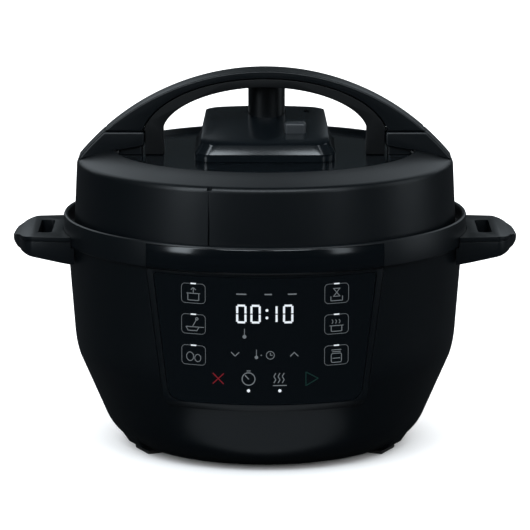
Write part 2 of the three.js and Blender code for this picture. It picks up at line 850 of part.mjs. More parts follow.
const FINISHES = {
  satinBlack: { color: 0x1a1d1f, roughness: 0.42, metalness: 0 },
  glossBlack: { color: 0x060708, roughness: 0.08, metalness: 0 },
  buttonGrey: { color: 0x2c3033, roughness: 0.4, metalness: 0 },
  steel: { color: 0xb9bcbf, roughness: 0.25, metalness: 1 },
  zinc: { color: 0x8f9396, roughness: 0.45, metalness: 1 },
  aluminium: { color: 0xc4c6c8, roughness: 0.4, metalness: 1 },
  brass: { color: 0xb08d4a, roughness: 0.3, metalness: 1 },
  silicone: { color: 0xd9dcda, roughness: 0.6, metalness: 0 },
  rubber: { color: 0x151515, roughness: 0.85, metalness: 0 },
  circuit: { color: 0x1d4a2c, roughness: 0.5, metalness: 0 },
  cupPlastic: { color: 0x3a3f42, roughness: 0.3, metalness: 0 },
};

function part(name, body, finish) {
  const { vertProperties, triVerts, numProp } = body.getMesh();
  const positions = new Float32Array((vertProperties.length / numProp) * 3);
  for (let i = 0; i < positions.length / 3; i++) {
    positions.set(vertProperties.subarray(i * numProp, i * numProp + 3), i * 3);
  }
  const geometry = new THREE.BufferGeometry();
  geometry.setAttribute("position", new THREE.BufferAttribute(positions, 3));
  geometry.setIndex(new THREE.BufferAttribute(triVerts, 1));
  geometry.computeVertexNormals();
  const mesh = new THREE.Mesh(geometry, new THREE.MeshStandardMaterial(FINISHES[finish]));
  mesh.name = name;
  return mesh;
}

// Puts a mesh at a place, turned about the vertical.
function at(mesh, x, y, z, degrees = 0) {
  mesh.position.set(x, y, z);
  mesh.rotation.z = deg(degrees);
  return mesh;
}

function baseGroup() {
  const group = new THREE.Group();
  group.add(part("body_shell", bodyShell(), "satinBlack"));
  group.add(part("condensation_rim", condensationRim(), "satinBlack"));
  group.add(part("rim_trim_band", rimTrimBand(), "glossBlack"));
  group.add(part("side_handle_right", sideHandle(), "satinBlack"));
  group.add(at(part("side_handle_left", sideHandle(), "satinBlack"), 0, 0, 0, 180));
  group.add(part("control_panel_bezel", panelBezel(), "satinBlack"));
  group.add(part("touch_panel", touchPanel(), "glossBlack"));
  group.add(part("display_module", displayModule(), "glossBlack"));
  group.add(part("control_board", controlBoard(), "circuit"));
  group.add(part("power_board", powerBoard(), "circuit"));
  group.add(part("liner", liner(), "steel"));
  group.add(part("heat_shield", heatShield(), "zinc"));
  group.add(part("heating_plate", heatingPlate(), "aluminium"));
  group.add(at(part("heater_terminal_left", heaterTerminal(), "brass"), -62, 0, 17));
  group.add(at(part("heater_terminal_right", heaterTerminal(), "brass"), 62, 0, 17));
  group.add(part("temperature_sensor", temperatureSensor(), "aluminium"));
  group.add(part("sensor_spring", coil(6.5, 0.6, 21.5, 36.3, 5), "steel"));
  group.add(part("sensor_bracket", sensorBracket(), "zinc"));
  group.add(part("thermal_fuse", crossRod(3, -11, 11, -45, 21.8), "silicone"));
  group.add(part("base_plate", basePlate(), "zinc"));
  FOOT.degrees.forEach((degrees, i) => {
    const x = FOOT.radius * Math.cos(deg(degrees));
    const y = FOOT.radius * Math.sin(deg(degrees));
    group.add(at(part(`foot_${i + 1}`, footPad(), "rubber"), x, y, 0, degrees));
  });
  for (let i = 0; i < 4; i++) {
    const x = SCREW_RADIUS * Math.cos(deg(i * 90));
    const y = SCREW_RADIUS * Math.sin(deg(i * 90));
    group.add(at(part(`base_screw_${i + 1}`, screw(2.6, 1.5, 1.5, 4.8), "zinc"), x, y, 3.2));
  }
  const handleScrew = screw(3.4, 2, 1.7, 11.5);
  const rightScrew = at(part("side_handle_screw_right", handleScrew, "zinc"), 122.4, 0, 127.5);
  rightScrew.rotation.y = Math.PI / 2;
  const leftScrew = at(part("side_handle_screw_left", handleScrew, "zinc"), -122.4, 0, 127.5);
  leftScrew.rotation.y = -Math.PI / 2;
  group.add(rightScrew, leftScrew);
  group.add(part("power_inlet", powerInlet(), "satinBlack"));
  const pinFront = INLET.back + 2;
  group.add(at(part("inlet_pin_line", inletPin(), "brass"), -7, pinFront, 19.4));
  group.add(at(part("inlet_pin_neutral", inletPin(), "brass"), 7, pinFront, 19.4));
  group.add(at(part("inlet_pin_earth", inletPin(), "brass"), 0, pinFront, 23.4));
  group.add(part("condensation_cup", condensationCup(), "cupPlastic"));
  return group;
}

function lidGroup() {
  const group = new THREE.Group();
  group.add(part("lid_shell", lidShell(), "satinBlack"));
  group.add(part("lid_center_panel", lidCenterPanel(), "glossBlack"));
  group.add(part("handle_cap", handleCap(), "satinBlack"));
  group.add(part("handle_grip", handleGrip(), "satinBlack"));
  group.add(part("handle_foot_right", handleFoot(), "satinBlack"));
  group.add(at(part("handle_foot_left", handleFoot(), "satinBlack"), 0, 0, 0, 180));
  group.add(at(part("handle_screw_right", screw(3.6, 3.3, 1.9, 19.2), "zinc"), 87, 0, 179.8));
  group.add(at(part("handle_screw_left", screw(3.6, 3.3, 1.9, 19.2), "zinc"), -87, 0, 179.8));
  group.add(part("valve_housing", valveHousing(), "glossBlack"));
  group.add(part("steam_release_valve", steamReleaseValve(), "satinBlack"));
  group.add(part("steam_vent_pipe", steamVentPipe(), "steel"));
  group.add(part("quick_release_button", quickReleaseButton(), "buttonGrey"));
  const spring = part("button_spring", coil(3.2, 0.45, 0, 5.9, 3), "steel");
  group.add(at(spring, BUTTON.x, BUTTON.y, PANEL_TOP + GAP));
  group.add(part("release_lever", releaseLever(), "buttonGrey"));
  group.add(part("release_lever_pin", crossRod(1.5, -13.8, 31.8, LEVER_AXIS.y, LEVER_AXIS.z), "steel"));
  group.add(part("float_valve", floatValve(), "steel"));
  group.add(part("float_valve_cap", floatValveCap(), "silicone"));
  group.add(part("anti_block_shield", antiBlockShield(), "steel"));
  group.add(part("lid_pan", lidPan(), "steel"));
  group.add(part("sealing_ring", sealingRing(), "silicone"));
  group.add(part("seal_rack", sealRack(), "steel"));
  pillars().forEach(([x, y], i) => {
    group.add(at(part(`lid_pan_screw_${i + 1}`, screw(3.5, 2, 1.8, 16), "zinc"), x, y, 164));
  });
  return group;
}

const pressureCooker = new THREE.Group();
pressureCooker.add(baseGroup());
pressureCooker.add(part("inner_pot", innerPot(), "steel"));
pressureCooker.add(lidGroup());

export default pressureCooker;
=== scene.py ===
import math
import bpy
from mathutils import Matrix, Vector


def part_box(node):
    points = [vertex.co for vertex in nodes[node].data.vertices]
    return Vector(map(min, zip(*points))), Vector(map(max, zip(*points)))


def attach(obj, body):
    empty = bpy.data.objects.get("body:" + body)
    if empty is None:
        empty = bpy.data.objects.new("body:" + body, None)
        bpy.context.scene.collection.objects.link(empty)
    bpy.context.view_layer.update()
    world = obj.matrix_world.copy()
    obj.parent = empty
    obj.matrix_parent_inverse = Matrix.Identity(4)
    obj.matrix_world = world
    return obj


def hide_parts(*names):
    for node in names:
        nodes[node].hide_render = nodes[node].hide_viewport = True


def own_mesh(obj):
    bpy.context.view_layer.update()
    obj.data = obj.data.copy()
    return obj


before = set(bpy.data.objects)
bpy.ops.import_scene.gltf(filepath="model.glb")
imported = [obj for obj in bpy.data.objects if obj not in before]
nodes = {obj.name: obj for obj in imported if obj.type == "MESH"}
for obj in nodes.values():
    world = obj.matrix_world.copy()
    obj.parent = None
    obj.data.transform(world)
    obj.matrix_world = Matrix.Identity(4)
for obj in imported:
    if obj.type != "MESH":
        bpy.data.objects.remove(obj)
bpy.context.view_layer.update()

# ---------------------------------------------------------------- Studio
# The camera sees a pale floor and a bright room, but reflections see both nearly black, so the black plastic
# is shaped by soft boxes: two behind, one either side of the camera, a pair above it, one at the right and a
# low card in front. The camera stands a little above the rim and looks down on the lid.
camera_distance = 2.30
camera_height = 0.566
camera_tilt = math.radians(11.09)
camera_data = bpy.data.cameras.new("studio_camera")
camera_data.lens = 244.9
camera_data.sensor_width = 36.0
camera_data.clip_end = 100.0
camera = bpy.data.objects.new("studio_camera", camera_data)
camera.location = (0.0, -camera_distance, camera_height)
camera.rotation_euler = (math.pi / 2 - camera_tilt, 0.0, 0.0)
bpy.context.scene.collection.objects.link(camera)
bpy.context.scene.camera = camera
bpy.context.scene.view_settings.view_transform = "Standard"


def soft_light(name, place, aim, width, height, brightness):
    """A rectangular soft box that faces a point and stays out of the camera's sight."""
    lamp = bpy.data.lights.new(name, "AREA")
    lamp.shape = "RECTANGLE"
    lamp.size = width
    lamp.size_y = height
    lamp.color = (0.84, 0.93, 1.0)
    lamp.energy = math.pi * width * height * brightness
    light = bpy.data.objects.new(name, lamp)
    light.location = place
    light.rotation_euler = (Vector(aim) - Vector(place)).to_track_quat("-Z", "Y").to_euler()
    light.visible_camera = False
    bpy.context.scene.collection.objects.link(light)


soft_light("behind_left", (-1.15, 2.0, 1.7), (0.0, 0.0, 0.2), 2.0, 2.3, 0.72)
soft_light("behind_right", (1.15, 2.0, 1.7), (0.0, 0.0, 0.2), 2.0, 2.3, 0.56)
soft_light("front_left", (-1.30, -1.20, 1.08), (0.0, 0.0, 0.15), 0.44, 1.66, 5.4)
soft_light("front_right", (1.20, -1.30, 1.08), (0.0, 0.0, 0.15), 0.36, 1.66, 2.6)
soft_light("front_top_left", (-0.50, -1.65, 1.72), (0.0, 0.0, 0.2), 0.76, 0.50, 9.0)
soft_light("front_top_right", (0.50, -1.65, 1.72), (0.0, 0.0, 0.2), 0.76, 0.50, 9.0)
soft_light("right_side", (1.7, 0.1, 0.50), (0.0, 0.0, 0.12), 0.8, 1.3, 0.8)
soft_light("low_card", (0.0, -0.150, 0.001), (0.0, -0.150, 1.0), 0.15, 0.10, 0.30)

world = bpy.data.worlds.new("studio")
bpy.context.scene.world = world
world.use_nodes = True
world.cycles.sampling_method = "NONE"
sky = world.node_tree
white_room = sky.nodes["Background"]
white_room.inputs["Color"].default_value = (1.0, 1.0, 1.0, 1.0)
white_room.inputs["Strength"].default_value = 1.6
dark_room = sky.nodes.new("ShaderNodeBackground")
dark_room.inputs["Color"].default_value = (0.75, 0.92, 1.0, 1.0)
dark_room.inputs["Strength"].default_value = 0.035
room_choice = sky.nodes.new("ShaderNodeMixShader")
ray_kind = sky.nodes.new("ShaderNodeLightPath")
sky.links.new(ray_kind.outputs["Is Glossy Ray"], room_choice.inputs["Fac"])
sky.links.new(white_room.outputs["Background"], room_choice.inputs[1])
sky.links.new(dark_room.outputs["Background"], room_choice.inputs[2])
sky.links.new(room_choice.outputs["Shader"], sky.nodes["World Output"].inputs["Surface"])

bpy.ops.object.select_all(action="DESELECT")
bpy.ops.mesh.primitive_circle_add(vertices=64, radius=14.0, fill_type="NGON")
floor = bpy.context.object
floor.name = "studio_floor"
paper = bpy.data.materials.new("studio_paper")
paper.use_nodes = True
paper_tree = paper.node_tree
paper_tree.nodes.remove(paper_tree.nodes["Principled BSDF"])
white_paper = paper_tree.nodes.new("ShaderNodeBsdfDiffuse")
white_paper.inputs["Color"].default_value = (0.93, 0.93, 0.93, 1.0)
grey_paper = paper_tree.nodes.new("ShaderNodeBsdfDiffuse")
grey_paper.inputs["Color"].default_value = (0.018, 0.020, 0.022, 1.0)
paper_choice = paper_tree.nodes.new("ShaderNodeMixShader")
paper_ray = paper_tree.nodes.new("ShaderNodeLightPath")
paper_tree.links.new(paper_ray.outputs["Is Camera Ray"], paper_choice.inputs["Fac"])
paper_tree.links.new(grey_paper.outputs["BSDF"], paper_choice.inputs[1])
paper_tree.links.new(white_paper.outputs["BSDF"], paper_choice.inputs[2])
paper_tree.links.new(
    paper_choice.outputs["Shader"], paper_tree.nodes["Material Output"].inputs["Surface"]
)
floor.data.materials.append(paper)

# ---------------------------------------------------------------- Body shell
# The bowl: a moulded shell of satin black plastic, flared above the floor and nearly upright above.
# It has a window for the control panel, a mouth for the mains inlet and a bay for the drip cup.


def satin_surface():
    """Node group of a moulded surface: slow patches of tone, fine grain and a painted highlight that lightens the
    sharp edges.
    """
    group = bpy.data.node_groups.new("moulded_surface", "ShaderNodeTree")
    face = group.interface
    face.new_socket("Place", in_out="INPUT", socket_type="NodeSocketVector")
    face.new_socket("Color", in_out="INPUT", socket_type="NodeSocketColor")
    # The second colour serves both the random tone patches and the painted highlight on sharp edges.
    face.new_socket("Patch and Sheen Color", in_out="INPUT", socket_type="NodeSocketColor")
    face.new_socket("Roughness", in_out="INPUT", socket_type="NodeSocketFloat")
    face.new_socket("Roughness Spread", in_out="INPUT", socket_type="NodeSocketFloat")
    face.new_socket("Grain Scale", in_out="INPUT", socket_type="NodeSocketFloat")
    face.new_socket("Color", in_out="OUTPUT", socket_type="NodeSocketColor")
    face.new_socket("Roughness", in_out="OUTPUT", socket_type="NodeSocketFloat")
    face.new_socket("Height", in_out="OUTPUT", socket_type="NodeSocketFloat")
    source = group.nodes.new("NodeGroupInput")
    result = group.nodes.new("NodeGroupOutput")
    patches = group.nodes.new("ShaderNodeTexNoise")
    patches.inputs["Scale"].default_value = 18.0
    patches.inputs["Detail"].default_value = 4.0
    grain = group.nodes.new("ShaderNodeTexNoise")
    grain.inputs["Detail"].default_value = 2.0
    shape = group.nodes.new("ShaderNodeNewGeometry")
    # Painted highlight: sharp convex edges, found by their pointiness, are mixed toward the second colour as a
    # painted sheen.
    edge_sheen = group.nodes.new("ShaderNodeMapRange")
    edge_sheen.inputs["From Min"].default_value = 0.52
    edge_sheen.inputs["From Max"].default_value = 0.62
    patch_tone = group.nodes.new("ShaderNodeMapRange")
    patch_tone.inputs["From Min"].default_value = 0.3
    patch_tone.inputs["From Max"].default_value = 0.7
    patch_tone.inputs["To Max"].default_value = 0.35
    tone = group.nodes.new("ShaderNodeMath")
    tone.operation = "MAXIMUM"
    mix = group.nodes.new("ShaderNodeMix")
    mix.data_type = "RGBA"
    centred = group.nodes.new("ShaderNodeMath")
    centred.operation = "SUBTRACT"
    centred.inputs[1].default_value = 0.5
    spread = group.nodes.new("ShaderNodeMath")
    spread.operation = "MULTIPLY_ADD"
    join = group.links.new
    join(source.outputs["Place"], patches.inputs["Vector"])
    join(source.outputs["Place"], grain.inputs["Vector"])
    join(source.outputs["Grain Scale"], grain.inputs["Scale"])
    join(shape.outputs["Pointiness"], edge_sheen.inputs["Value"])
    join(patches.outputs["Fac"], patch_tone.inputs["Value"])
    join(edge_sheen.outputs["Result"], tone.inputs[0])
    join(patch_tone.outputs["Result"], tone.inputs[1])
    join(tone.outputs["Value"], mix.inputs["Factor"])
    join(source.outputs["Color"], mix.inputs["A"])
    join(source.outputs["Patch and Sheen Color"], mix.inputs["B"])
    join(mix.outputs["Result"], result.inputs["Color"])
    join(patches.outputs["Fac"], centred.inputs[0])
    join(centred.outputs["Value"], spread.inputs[0])
    join(source.outputs["Roughness Spread"], spread.inputs[1])
    join(source.outputs["Roughness"], spread.inputs[2])
    join(spread.outputs["Value"], result.inputs["Roughness"])
    join(grain.outputs["Fac"], result.inputs["Height"])
    return group


moulded_surface = satin_surface()


def moulded(name, color, patch_and_sheen_color, roughness, spread, grain_scale, bump, metallic=0.0):
    """A material with the moulded surface's tone, grain and painted edge highlight."""
    material = bpy.data.materials.new(name)
    material.use_nodes = True
    tree = material.node_tree
    shader = tree.nodes["Principled BSDF"]
    shader.inputs["Metallic"].default_value = metallic
    place = tree.nodes.new("ShaderNodeTexCoord")
    surface = tree.nodes.new("ShaderNodeGroup")
    surface.node_tree = moulded_surface
    surface.inputs["Color"].default_value = (*color, 1.0)
    # Second colour: for the random tone patches and the painted highlight on sharp edges.
    surface.inputs["Patch and Sheen Color"].default_value = (*patch_and_sheen_color, 1.0)
    surface.inputs["Roughness"].default_value = roughness
    surface.inputs["Roughness Spread"].default_value = spread
    surface.inputs["Grain Scale"].default_value = grain_scale
    relief = tree.nodes.new("ShaderNodeBump")
    relief.inputs["Strength"].default_value = bump
    relief.inputs["Distance"].default_value = 0.0002
    tree.links.new(place.outputs["Object"], surface.inputs["Place"])
    tree.links.new(surface.outputs["Color"], shader.inputs["Base Color"])
    tree.links.new(surface.outputs["Roughness"], shader.inputs["Roughness"])
    tree.links.new(surface.outputs["Height"], relief.inputs["Height"])
    tree.links.new(relief.outputs["Normal"], shader.inputs["Normal"])
    return material


satin_black = moulded(
    "satin_black_plastic", (0.0001, 0.0014, 0.0027), (0.0005, 0.0020, 0.0034), 0.36, 0.10, 2600.0, 0.16
)


def choose(piece):
    """Makes this the only selected and active object."""
    bpy.ops.object.select_all(action="DESELECT")
    piece.select_set(True)
    bpy.context.view_layer.objects.active = piece


def finish_modifier(piece, modifier):
    choose(piece)
    bpy.ops.object.modifier_apply(modifier=modifier.name)


def draw_chain(name, points):
    """Starts an edit: a chain of points, closed on itself, drawn by extruding one point after another."""
    bpy.ops.object.select_all(action="DESELECT")
    bpy.ops.mesh.primitive_plane_add(size=0.01)
    piece = bpy.context.object
    piece.name = name
    bpy.ops.object.mode_set(mode="EDIT")
    bpy.ops.mesh.merge(type="CENTER")
    bpy.ops.transform.translate(value=points[0])
    here = Vector(points[0])
    for point in [*points[1:], points[0]]:
        step = Vector(point) - here
        bpy.ops.mesh.extrude_region_move(TRANSFORM_OT_translate={"value": step})
        here = Vector(point)
    bpy.ops.mesh.select_all(action="SELECT")
    bpy.ops.mesh.remove_doubles(threshold=1e-6)
    return piece


def spin_outline(name, outline, steps=144):
    """Turns half of a section, given as radius and height, about the Z axis."""
    piece = draw_chain(name, [(radius, 0.0, height) for radius, height in outline])
    bpy.ops.mesh.spin(steps=steps, angle=2 * math.pi, center=(0, 0, 0), axis=(0, 0, 1))
    bpy.ops.mesh.select_all(action="SELECT")
    bpy.ops.mesh.remove_doubles(threshold=1e-6)
    bpy.ops.mesh.normals_make_consistent(inside=False)
    bpy.ops.object.mode_set(mode="OBJECT")
    return piece


def push_outline(name, points, depth):
    """Fills a closed outline and extrudes it by a depth vector."""
    piece = draw_chain(name, points)
    bpy.ops.mesh.edge_face_add()
    bpy.ops.mesh.extrude_region_move(TRANSFORM_OT_translate={"value": depth})
    bpy.ops.mesh.select_all(action="SELECT")
    bpy.ops.mesh.normals_make_consistent(inside=False)
    bpy.ops.object.mode_set(mode="OBJECT")
    return piece


def bend(start, control, end, steps):
    """Points of a curved stretch, without its start."""
    points = []
    for i in range(1, steps + 1):
        t = i / steps
        weights = ((1 - t) ** 2, 2 * t * (1 - t), t * t)
        corners = (start, control, end)
        points.append(tuple(sum(w * c[axis] for w, c in zip(weights, corners)) for axis in (0, 1)))
    return points


def carve(piece, tool, operation="DIFFERENCE"):
    """Cuts a piece with a tool, or joins or trims it, and removes the tool."""
    cut = piece.modifiers.new("carve", "BOOLEAN")
    cut.operation = operation
    cut.solver = "EXACT"
    cut.object = tool
    finish_modifier(piece, cut)
    bpy.data.objects.remove(tool)


def soften(piece, width, segments=3, angle=35):
    """Rounds the sharp edges of a piece."""
    edge = piece.modifiers.new("soften", "BEVEL")
    edge.width = width
    edge.segments = segments
    edge.limit_method = "ANGLE"
    edge.angle_limit = math.radians(angle)
    edge.use_clamp_overlap = True
    finish_modifier(piece, edge)


def set_piece(piece, material, body, slot, *replaced):
    """Gives a finished piece its material and its place in the assembly."""
    choose(piece)
    bpy.ops.object.shade_smooth_by_angle(angle=math.radians(32))
    piece.data.materials.clear()
    piece.data.materials.append(material)
    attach(piece, body)
    if replaced:
        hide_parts(*replaced)


def add_block(name, low, high):
    """A plain block between two corners, used as a cutting tool or a start."""
    bpy.ops.object.select_all(action="DESELECT")
    middle = (Vector(low) + Vector(high)) / 2
    size = Vector(high) - Vector(low)
    bpy.ops.mesh.primitive_cube_add(size=1.0, location=middle, scale=size)
    piece = bpy.context.object
    piece.name = name
    bpy.ops.object.transform_apply(location=True, rotation=True, scale=True)
    return piece


def add_rod(name, low, high, radius, vertices=48):
    """A plain round bar between two points, used as a cutting tool or a start."""
    bpy.ops.object.select_all(action="DESELECT")
    start, end = Vector(low), Vector(high)
    turn = (end - start).to_track_quat("Z", "Y").to_euler()
    bpy.ops.mesh.primitive_cylinder_add(
        vertices=vertices,
        radius=radius,
        depth=(end - start).length,
        location=(start + end) / 2,
        rotation=turn,
    )
    piece = bpy.context.object
    piece.name = name
    bpy.ops.object.transform_apply(location=True, rotation=True, scale=True)
    return piece


shell_low, shell_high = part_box("body_shell")
seam_radius = shell_high.x
seam_height = shell_high.z
wall = 0.0026
floor_edge = (0.0845, shell_low.z)
heel = (0.1036, 0.0205)
shoulder = (0.1198, 0.0580)
bowl_outside = [floor_edge]
bowl_outside += bend(floor_edge, (0.0980, 0.0085), heel, 10)
bowl_outside += [shoulder]
bowl_outside += bend(shoulder, (0.1229, 0.0652), (0.1237, 0.0780), 8)
bowl_outside += [(seam_radius - 0.0006, seam_height - 0.004), (seam_radius, seam_height)]
bowl_inside = [(0.0865, 0.0058)]
bowl_inside += bend((0.0865, 0.0058), (0.0960, 0.0110), (0.1010, 0.0220), 8)
bowl_inside += [(0.1172, 0.0590)]
bowl_inside += bend((0.1172, 0.0590), (0.1203, 0.0660), (0.1211, 0.0780), 6)
bowl_inside += [(seam_radius - wall, seam_height)]
body_shell = spin_outline(
    "body_shell_moulding", [(0.0780, 0.0030), *bowl_outside, *reversed(bowl_inside), (0.0780, 0.0058)]
)


def panel_frame_outline(margin):
    """Front outline of the control panel's frame, as x and z."""
    half_top = 0.0736 + margin
    half_bottom = 0.0639 + margin
    bottom = 0.045 - margin
    top = seam_height - 0.0001
    right = [(half_top, top), (half_bottom, bottom + 0.009)]
    right += bend(right[-1], (half_bottom - 0.001, bottom), (half_bottom - 0.010, bottom), 8)
    left = [(-x, z) for x, z in reversed(right)]
    return right + left


def front_prism(name, outline, front=-0.140, back=-0.060):
    """An outline seen from the front, as a solid through the front wall."""
    return push_outline(name, [(x, front, z) for x, z in outline], (0.0, back - front, 0.0))


carve(body_shell, front_prism("window_tool", panel_frame_outline(0.0003)))
inlet_low, inlet_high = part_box("power_inlet")
inlet_gap = 0.0003
carve(
    body_shell,
    add_block(
        "inlet_tool",
        (inlet_low.x - inlet_gap, 0.085, inlet_low.z - inlet_gap),
        (inlet_high.x + inlet_gap, 0.140, inlet_high.z + inlet_gap),
    ),
)
cup_low, cup_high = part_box("condensation_cup")
bay_walls = add_block("cup_bay", (-0.026, 0.110, 0.088), (0.026, 0.1256, seam_height - 0.0002))
carve(body_shell, bay_walls, "UNION")
carve(body_shell, add_block("bay_tool", (-0.0243, 0.1112, 0.0899), (0.0243, 0.140, 0.1315)))
boss_side = [
    (0.0842, shell_low.z),
    (0.0890, shell_low.z),
    (0.0919, shell_low.z + 0.0017),
    (0.0962, 0.0109),
    (0.0962, 0.0120),
    (0.0842, 0.0120),
]
foot_angles = [math.radians(a) for a in (25, 155, 205, 335)]
for foot_angle in foot_angles:
    boss = push_outline("foot_boss", [(x, -0.0118, z) for x, z in boss_side], (0.0, 0.0236, 0.0))
    soften(boss, 0.0012, 3)
    bpy.ops.object.mode_set(mode="EDIT")
    bpy.ops.mesh.select_all(action="SELECT")
    bpy.ops.transform.rotate(value=-foot_angle, orient_axis="Z", center_override=(0, 0, 0))
    bpy.ops.object.mode_set(mode="OBJECT")
    carve(body_shell, boss, "UNION")
set_piece(body_shell, satin_black, "base", "satin_black", "body_shell")

# ---------------------------------------------------------------- Condensation rim
# The collar that stands round the lid: one moulded ring with a rounded lip and a trough behind it.
# A shallow recess in its front takes the glossy strip over the control panel.
rim_low, rim_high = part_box("condensation_rim")
rim_radius = rim_high.x
rim_top = 0.1514
rim = spin_outline(
    "condensation_rim_moulding",
    [
        (0.1266, rim_low.z),
        (0.1294, rim_low.z),
        (rim_radius, rim_low.z + 0.0012),
        (rim_radius, rim_top - 0.0016),
        (rim_radius - 0.0004, rim_top - 0.0005),
        (rim_radius - 0.0014, rim_top),
        (rim_radius - 0.0025, rim_top - 0.0004),
        (rim_radius - 0.0032, rim_top - 0.0014),
        (0.1266, 0.1425),
        (0.1258, 0.1416),
        (0.1125, 0.1404),
        (0.1112, 0.1412),
        (0.1112, rim_high.z),
        (0.1092, rim_high.z),
        (0.1092, 0.1376),
        (0.1246, 0.1380),
        (0.1262, 0.1368),
    ],
    steps=180,
)
recess_half = 0.0739
recess_tool = spin_outline(
    "recess_tool", [(0.1288, 0.1349), (0.135, 0.1349), (0.135, 0.1500), (0.1288, 0.1500)]
)
recess_trim = add_block("recess_trim", (-recess_half, -0.15, 0.13), (recess_half, 0.0, 0.155))
carve(recess_tool, recess_trim, "INTERSECT")
carve(rim, recess_tool)
set_piece(rim, satin_black, "base", "satin_black", "condensation_rim")

# ---------------------------------------------------------------- Rim strip
# The glossy strip let into the rim's front, polished black like the touch panel below it.
gloss_black = moulded(
    "gloss_black_plastic", (0.0006, 0.0014, 0.0023), (0.0011, 0.0020, 0.0029), 0.15, 0.06, 900.0, 0.012
)
strip_low, strip_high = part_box("rim_trim_band")
strip_half = strip_high.x
strip = spin_outline(
    "rim_strip_gloss",
    [
        (0.1291, strip_low.z),
        (rim_radius - 0.0003, strip_low.z),
        (rim_radius, strip_low.z + 0.0005),
        (rim_radius, strip_high.z - 0.0005),
        (rim_radius - 0.0003, strip_high.z),
        (0.1291, strip_high.z),
    ],
    steps=180,
)
carve(strip, add_block("strip_trim", (-strip_half, -0.15, 0.13), (strip_half, 0.0, 0.155)), "INTERSECT")
set_piece(strip, gloss_black, "base", "gloss_black", "rim_trim_band")

# ---------------------------------------------------------------- Side handles
# Two trays moulded in satin black that hook under the fingers, each with a slot for standing the lid in.
# Both are screwed on from inside the bowl and follow its curve at the root.
tray_low, tray_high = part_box("side_handle_right")
tip = tray_high.x
tray_top = tray_high.z
tray_plan = [(0.116, -0.041), (0.131, -0.041), (0.148, -0.0385)]
tray_plan += bend((0.148, -0.0385), (0.155, -0.036), (0.1575, -0.022), 8)
tray_plan += bend((0.1575, -0.022), (2 * tip - 0.1575, 0.0), (0.1575, 0.022), 16)
tray_plan += bend((0.1575, 0.022), (0.155, 0.036), (0.148, 0.0385), 8)
tray_plan += [(0.131, 0.041), (0.116, 0.041)]
tray = push_outline("side_tray", [(x, y, 0.115) for x, y in tray_plan], (0.0, 0.0, 0.030))
side_view = [
    (0.110, tray_low.z),
    (0.125, tray_low.z),
    (0.151, 0.1284),
    (0.1595, 0.1312),
    (0.1623, 0.1333),
    (tip + 0.0001, 0.1356),
    (0.1614, 0.1382),
    (0.1570, 0.1398),
    (0.1500, tray_top),
    (0.110, tray_top),
]
side_tool = push_outline("side_tool", [(x, -0.045, z) for x, z in side_view], (0.0, 0.090, 0.0))
carve(tray, side_tool, "INTERSECT")
slot_tool = add_block("slot_tool", (0.137, -0.0225, 0.11), (0.146, 0.0225, 0.15))
soften(slot_tool, 0.003, 5, 80)
carve(tray, slot_tool)
groove_tool = push_outline(
    "tray_groove_tool", [(x * 1.002, y * 1.002, 0.1377) for x, y in tray_plan], (0.0, 0.0, 0.0006)
)
groove_core = push_outline(
    "tray_groove_core",
    [(0.130 + (x - 0.130) * 0.968, y * 0.984, 0.1370) for x, y in tray_plan],
    (0.0, 0.0, 0.0020),
)
carve(groove_tool, groove_core)
carve(tray, groove_tool)
root_tool = spin_outline(
    "root_tool",
    [
        (0.0, 0.110),
        (seam_radius + 0.0003, 0.110),
        (seam_radius + 0.0003, seam_height),
        (rim_radius + 0.0003, seam_height),
        (rim_radius + 0.0003, 0.145),
        (0.0, 0.145),
    ],
)
carve(tray, root_tool)
soften(tray, 0.0013, 4, 40)


def copy_turned(piece, name, angle):
    """A copy with its own mesh, turned about the Z axis."""
    choose(piece)
    bpy.ops.object.duplicate()
    copied = bpy.context.object
    copied.name = name
    bpy.ops.object.mode_set(mode="EDIT")
    bpy.ops.mesh.select_all(action="SELECT")
    bpy.ops.transform.rotate(value=-angle, orient_axis="Z", center_override=(0, 0, 0))
    bpy.ops.object.mode_set(mode="OBJECT")
    return copied


tray.name = "side_handle_right_tray"
left_tray = copy_turned(tray, "side_handle_left_tray", math.pi)
set_piece(tray, satin_black, "base", "satin_black", "side_handle_right")
set_piece(left_tray, satin_black, "base", "satin_black", "side_handle_left")

# ---------------------------------------------------------------- Control panel
# A satin frame set in the bowl's window and the glossy touch panel inside it, both curved with the bowl.
# They lean a little, so that the panel stands proud of the bowl at its lower edge.


def panel_wall(name, outward, thickness):
    """The curved wall that the panel's pieces are cut from."""
    low = 0.1214 + outward
    high = 0.1281 + outward
    foot = 0.1150 + outward
    return spin_outline(
        name,
        [
            (foot, 0.0440),
            (low - 0.0010, 0.0490),
            (low, 0.0505),
            (high, seam_height - 0.0002),
            (high - thickness, seam_height - 0.0002),
            (low - thickness, 0.0505),
            (foot - thickness, 0.0440),
        ],
        steps=216,
    )


def touch_outline(margin):
    """Front outline of the touch panel, as x and z."""
    top = 0.132 + margin
    bottom = 0.0505 - margin
    half_top = 0.069 + margin
    half_bottom = 0.060 + margin
    corner = 0.009
    right = [(half_top - 0.002, top)]
    right += bend(right[-1], (half_top, top), (half_top, top - 0.003), 4)
    right += [(half_bottom + 0.001, bottom + corner)]
    right += bend(right[-1], (half_bottom, bottom), (half_bottom - corner, bottom), 10)
    left = [(-x, z) for x, z in reversed(right)]
    return right + left


bezel = panel_wall("panel_bezel", 0.0004, 0.0036)
carve(bezel, front_prism("bezel_trim", panel_frame_outline(0.0)), "INTERSECT")
carve(bezel, front_prism("bezel_opening", touch_outline(0.0003)))
soften(bezel, 0.0005, 3, 40)
set_piece(bezel, satin_black, "base", "satin_black", "control_panel_bezel")
touch_panel = panel_wall("touch_panel_gloss", 0.0, 0.0022)
carve(touch_panel, front_prism("touch_trim", touch_outline(0.0)), "INTERSECT")
soften(touch_panel, 0.0004, 2, 40)
set_piece(touch_panel, gloss_black, "base", "gloss_black", "touch_panel")

# ---------------------------------------------------------------- Panel lights
# The backlit digits, the pictograms of the touch keys and their small lamps, as thin printed layers.
# Each is drawn flat in front of the panel, laid onto its curve and given the thickness of a print.


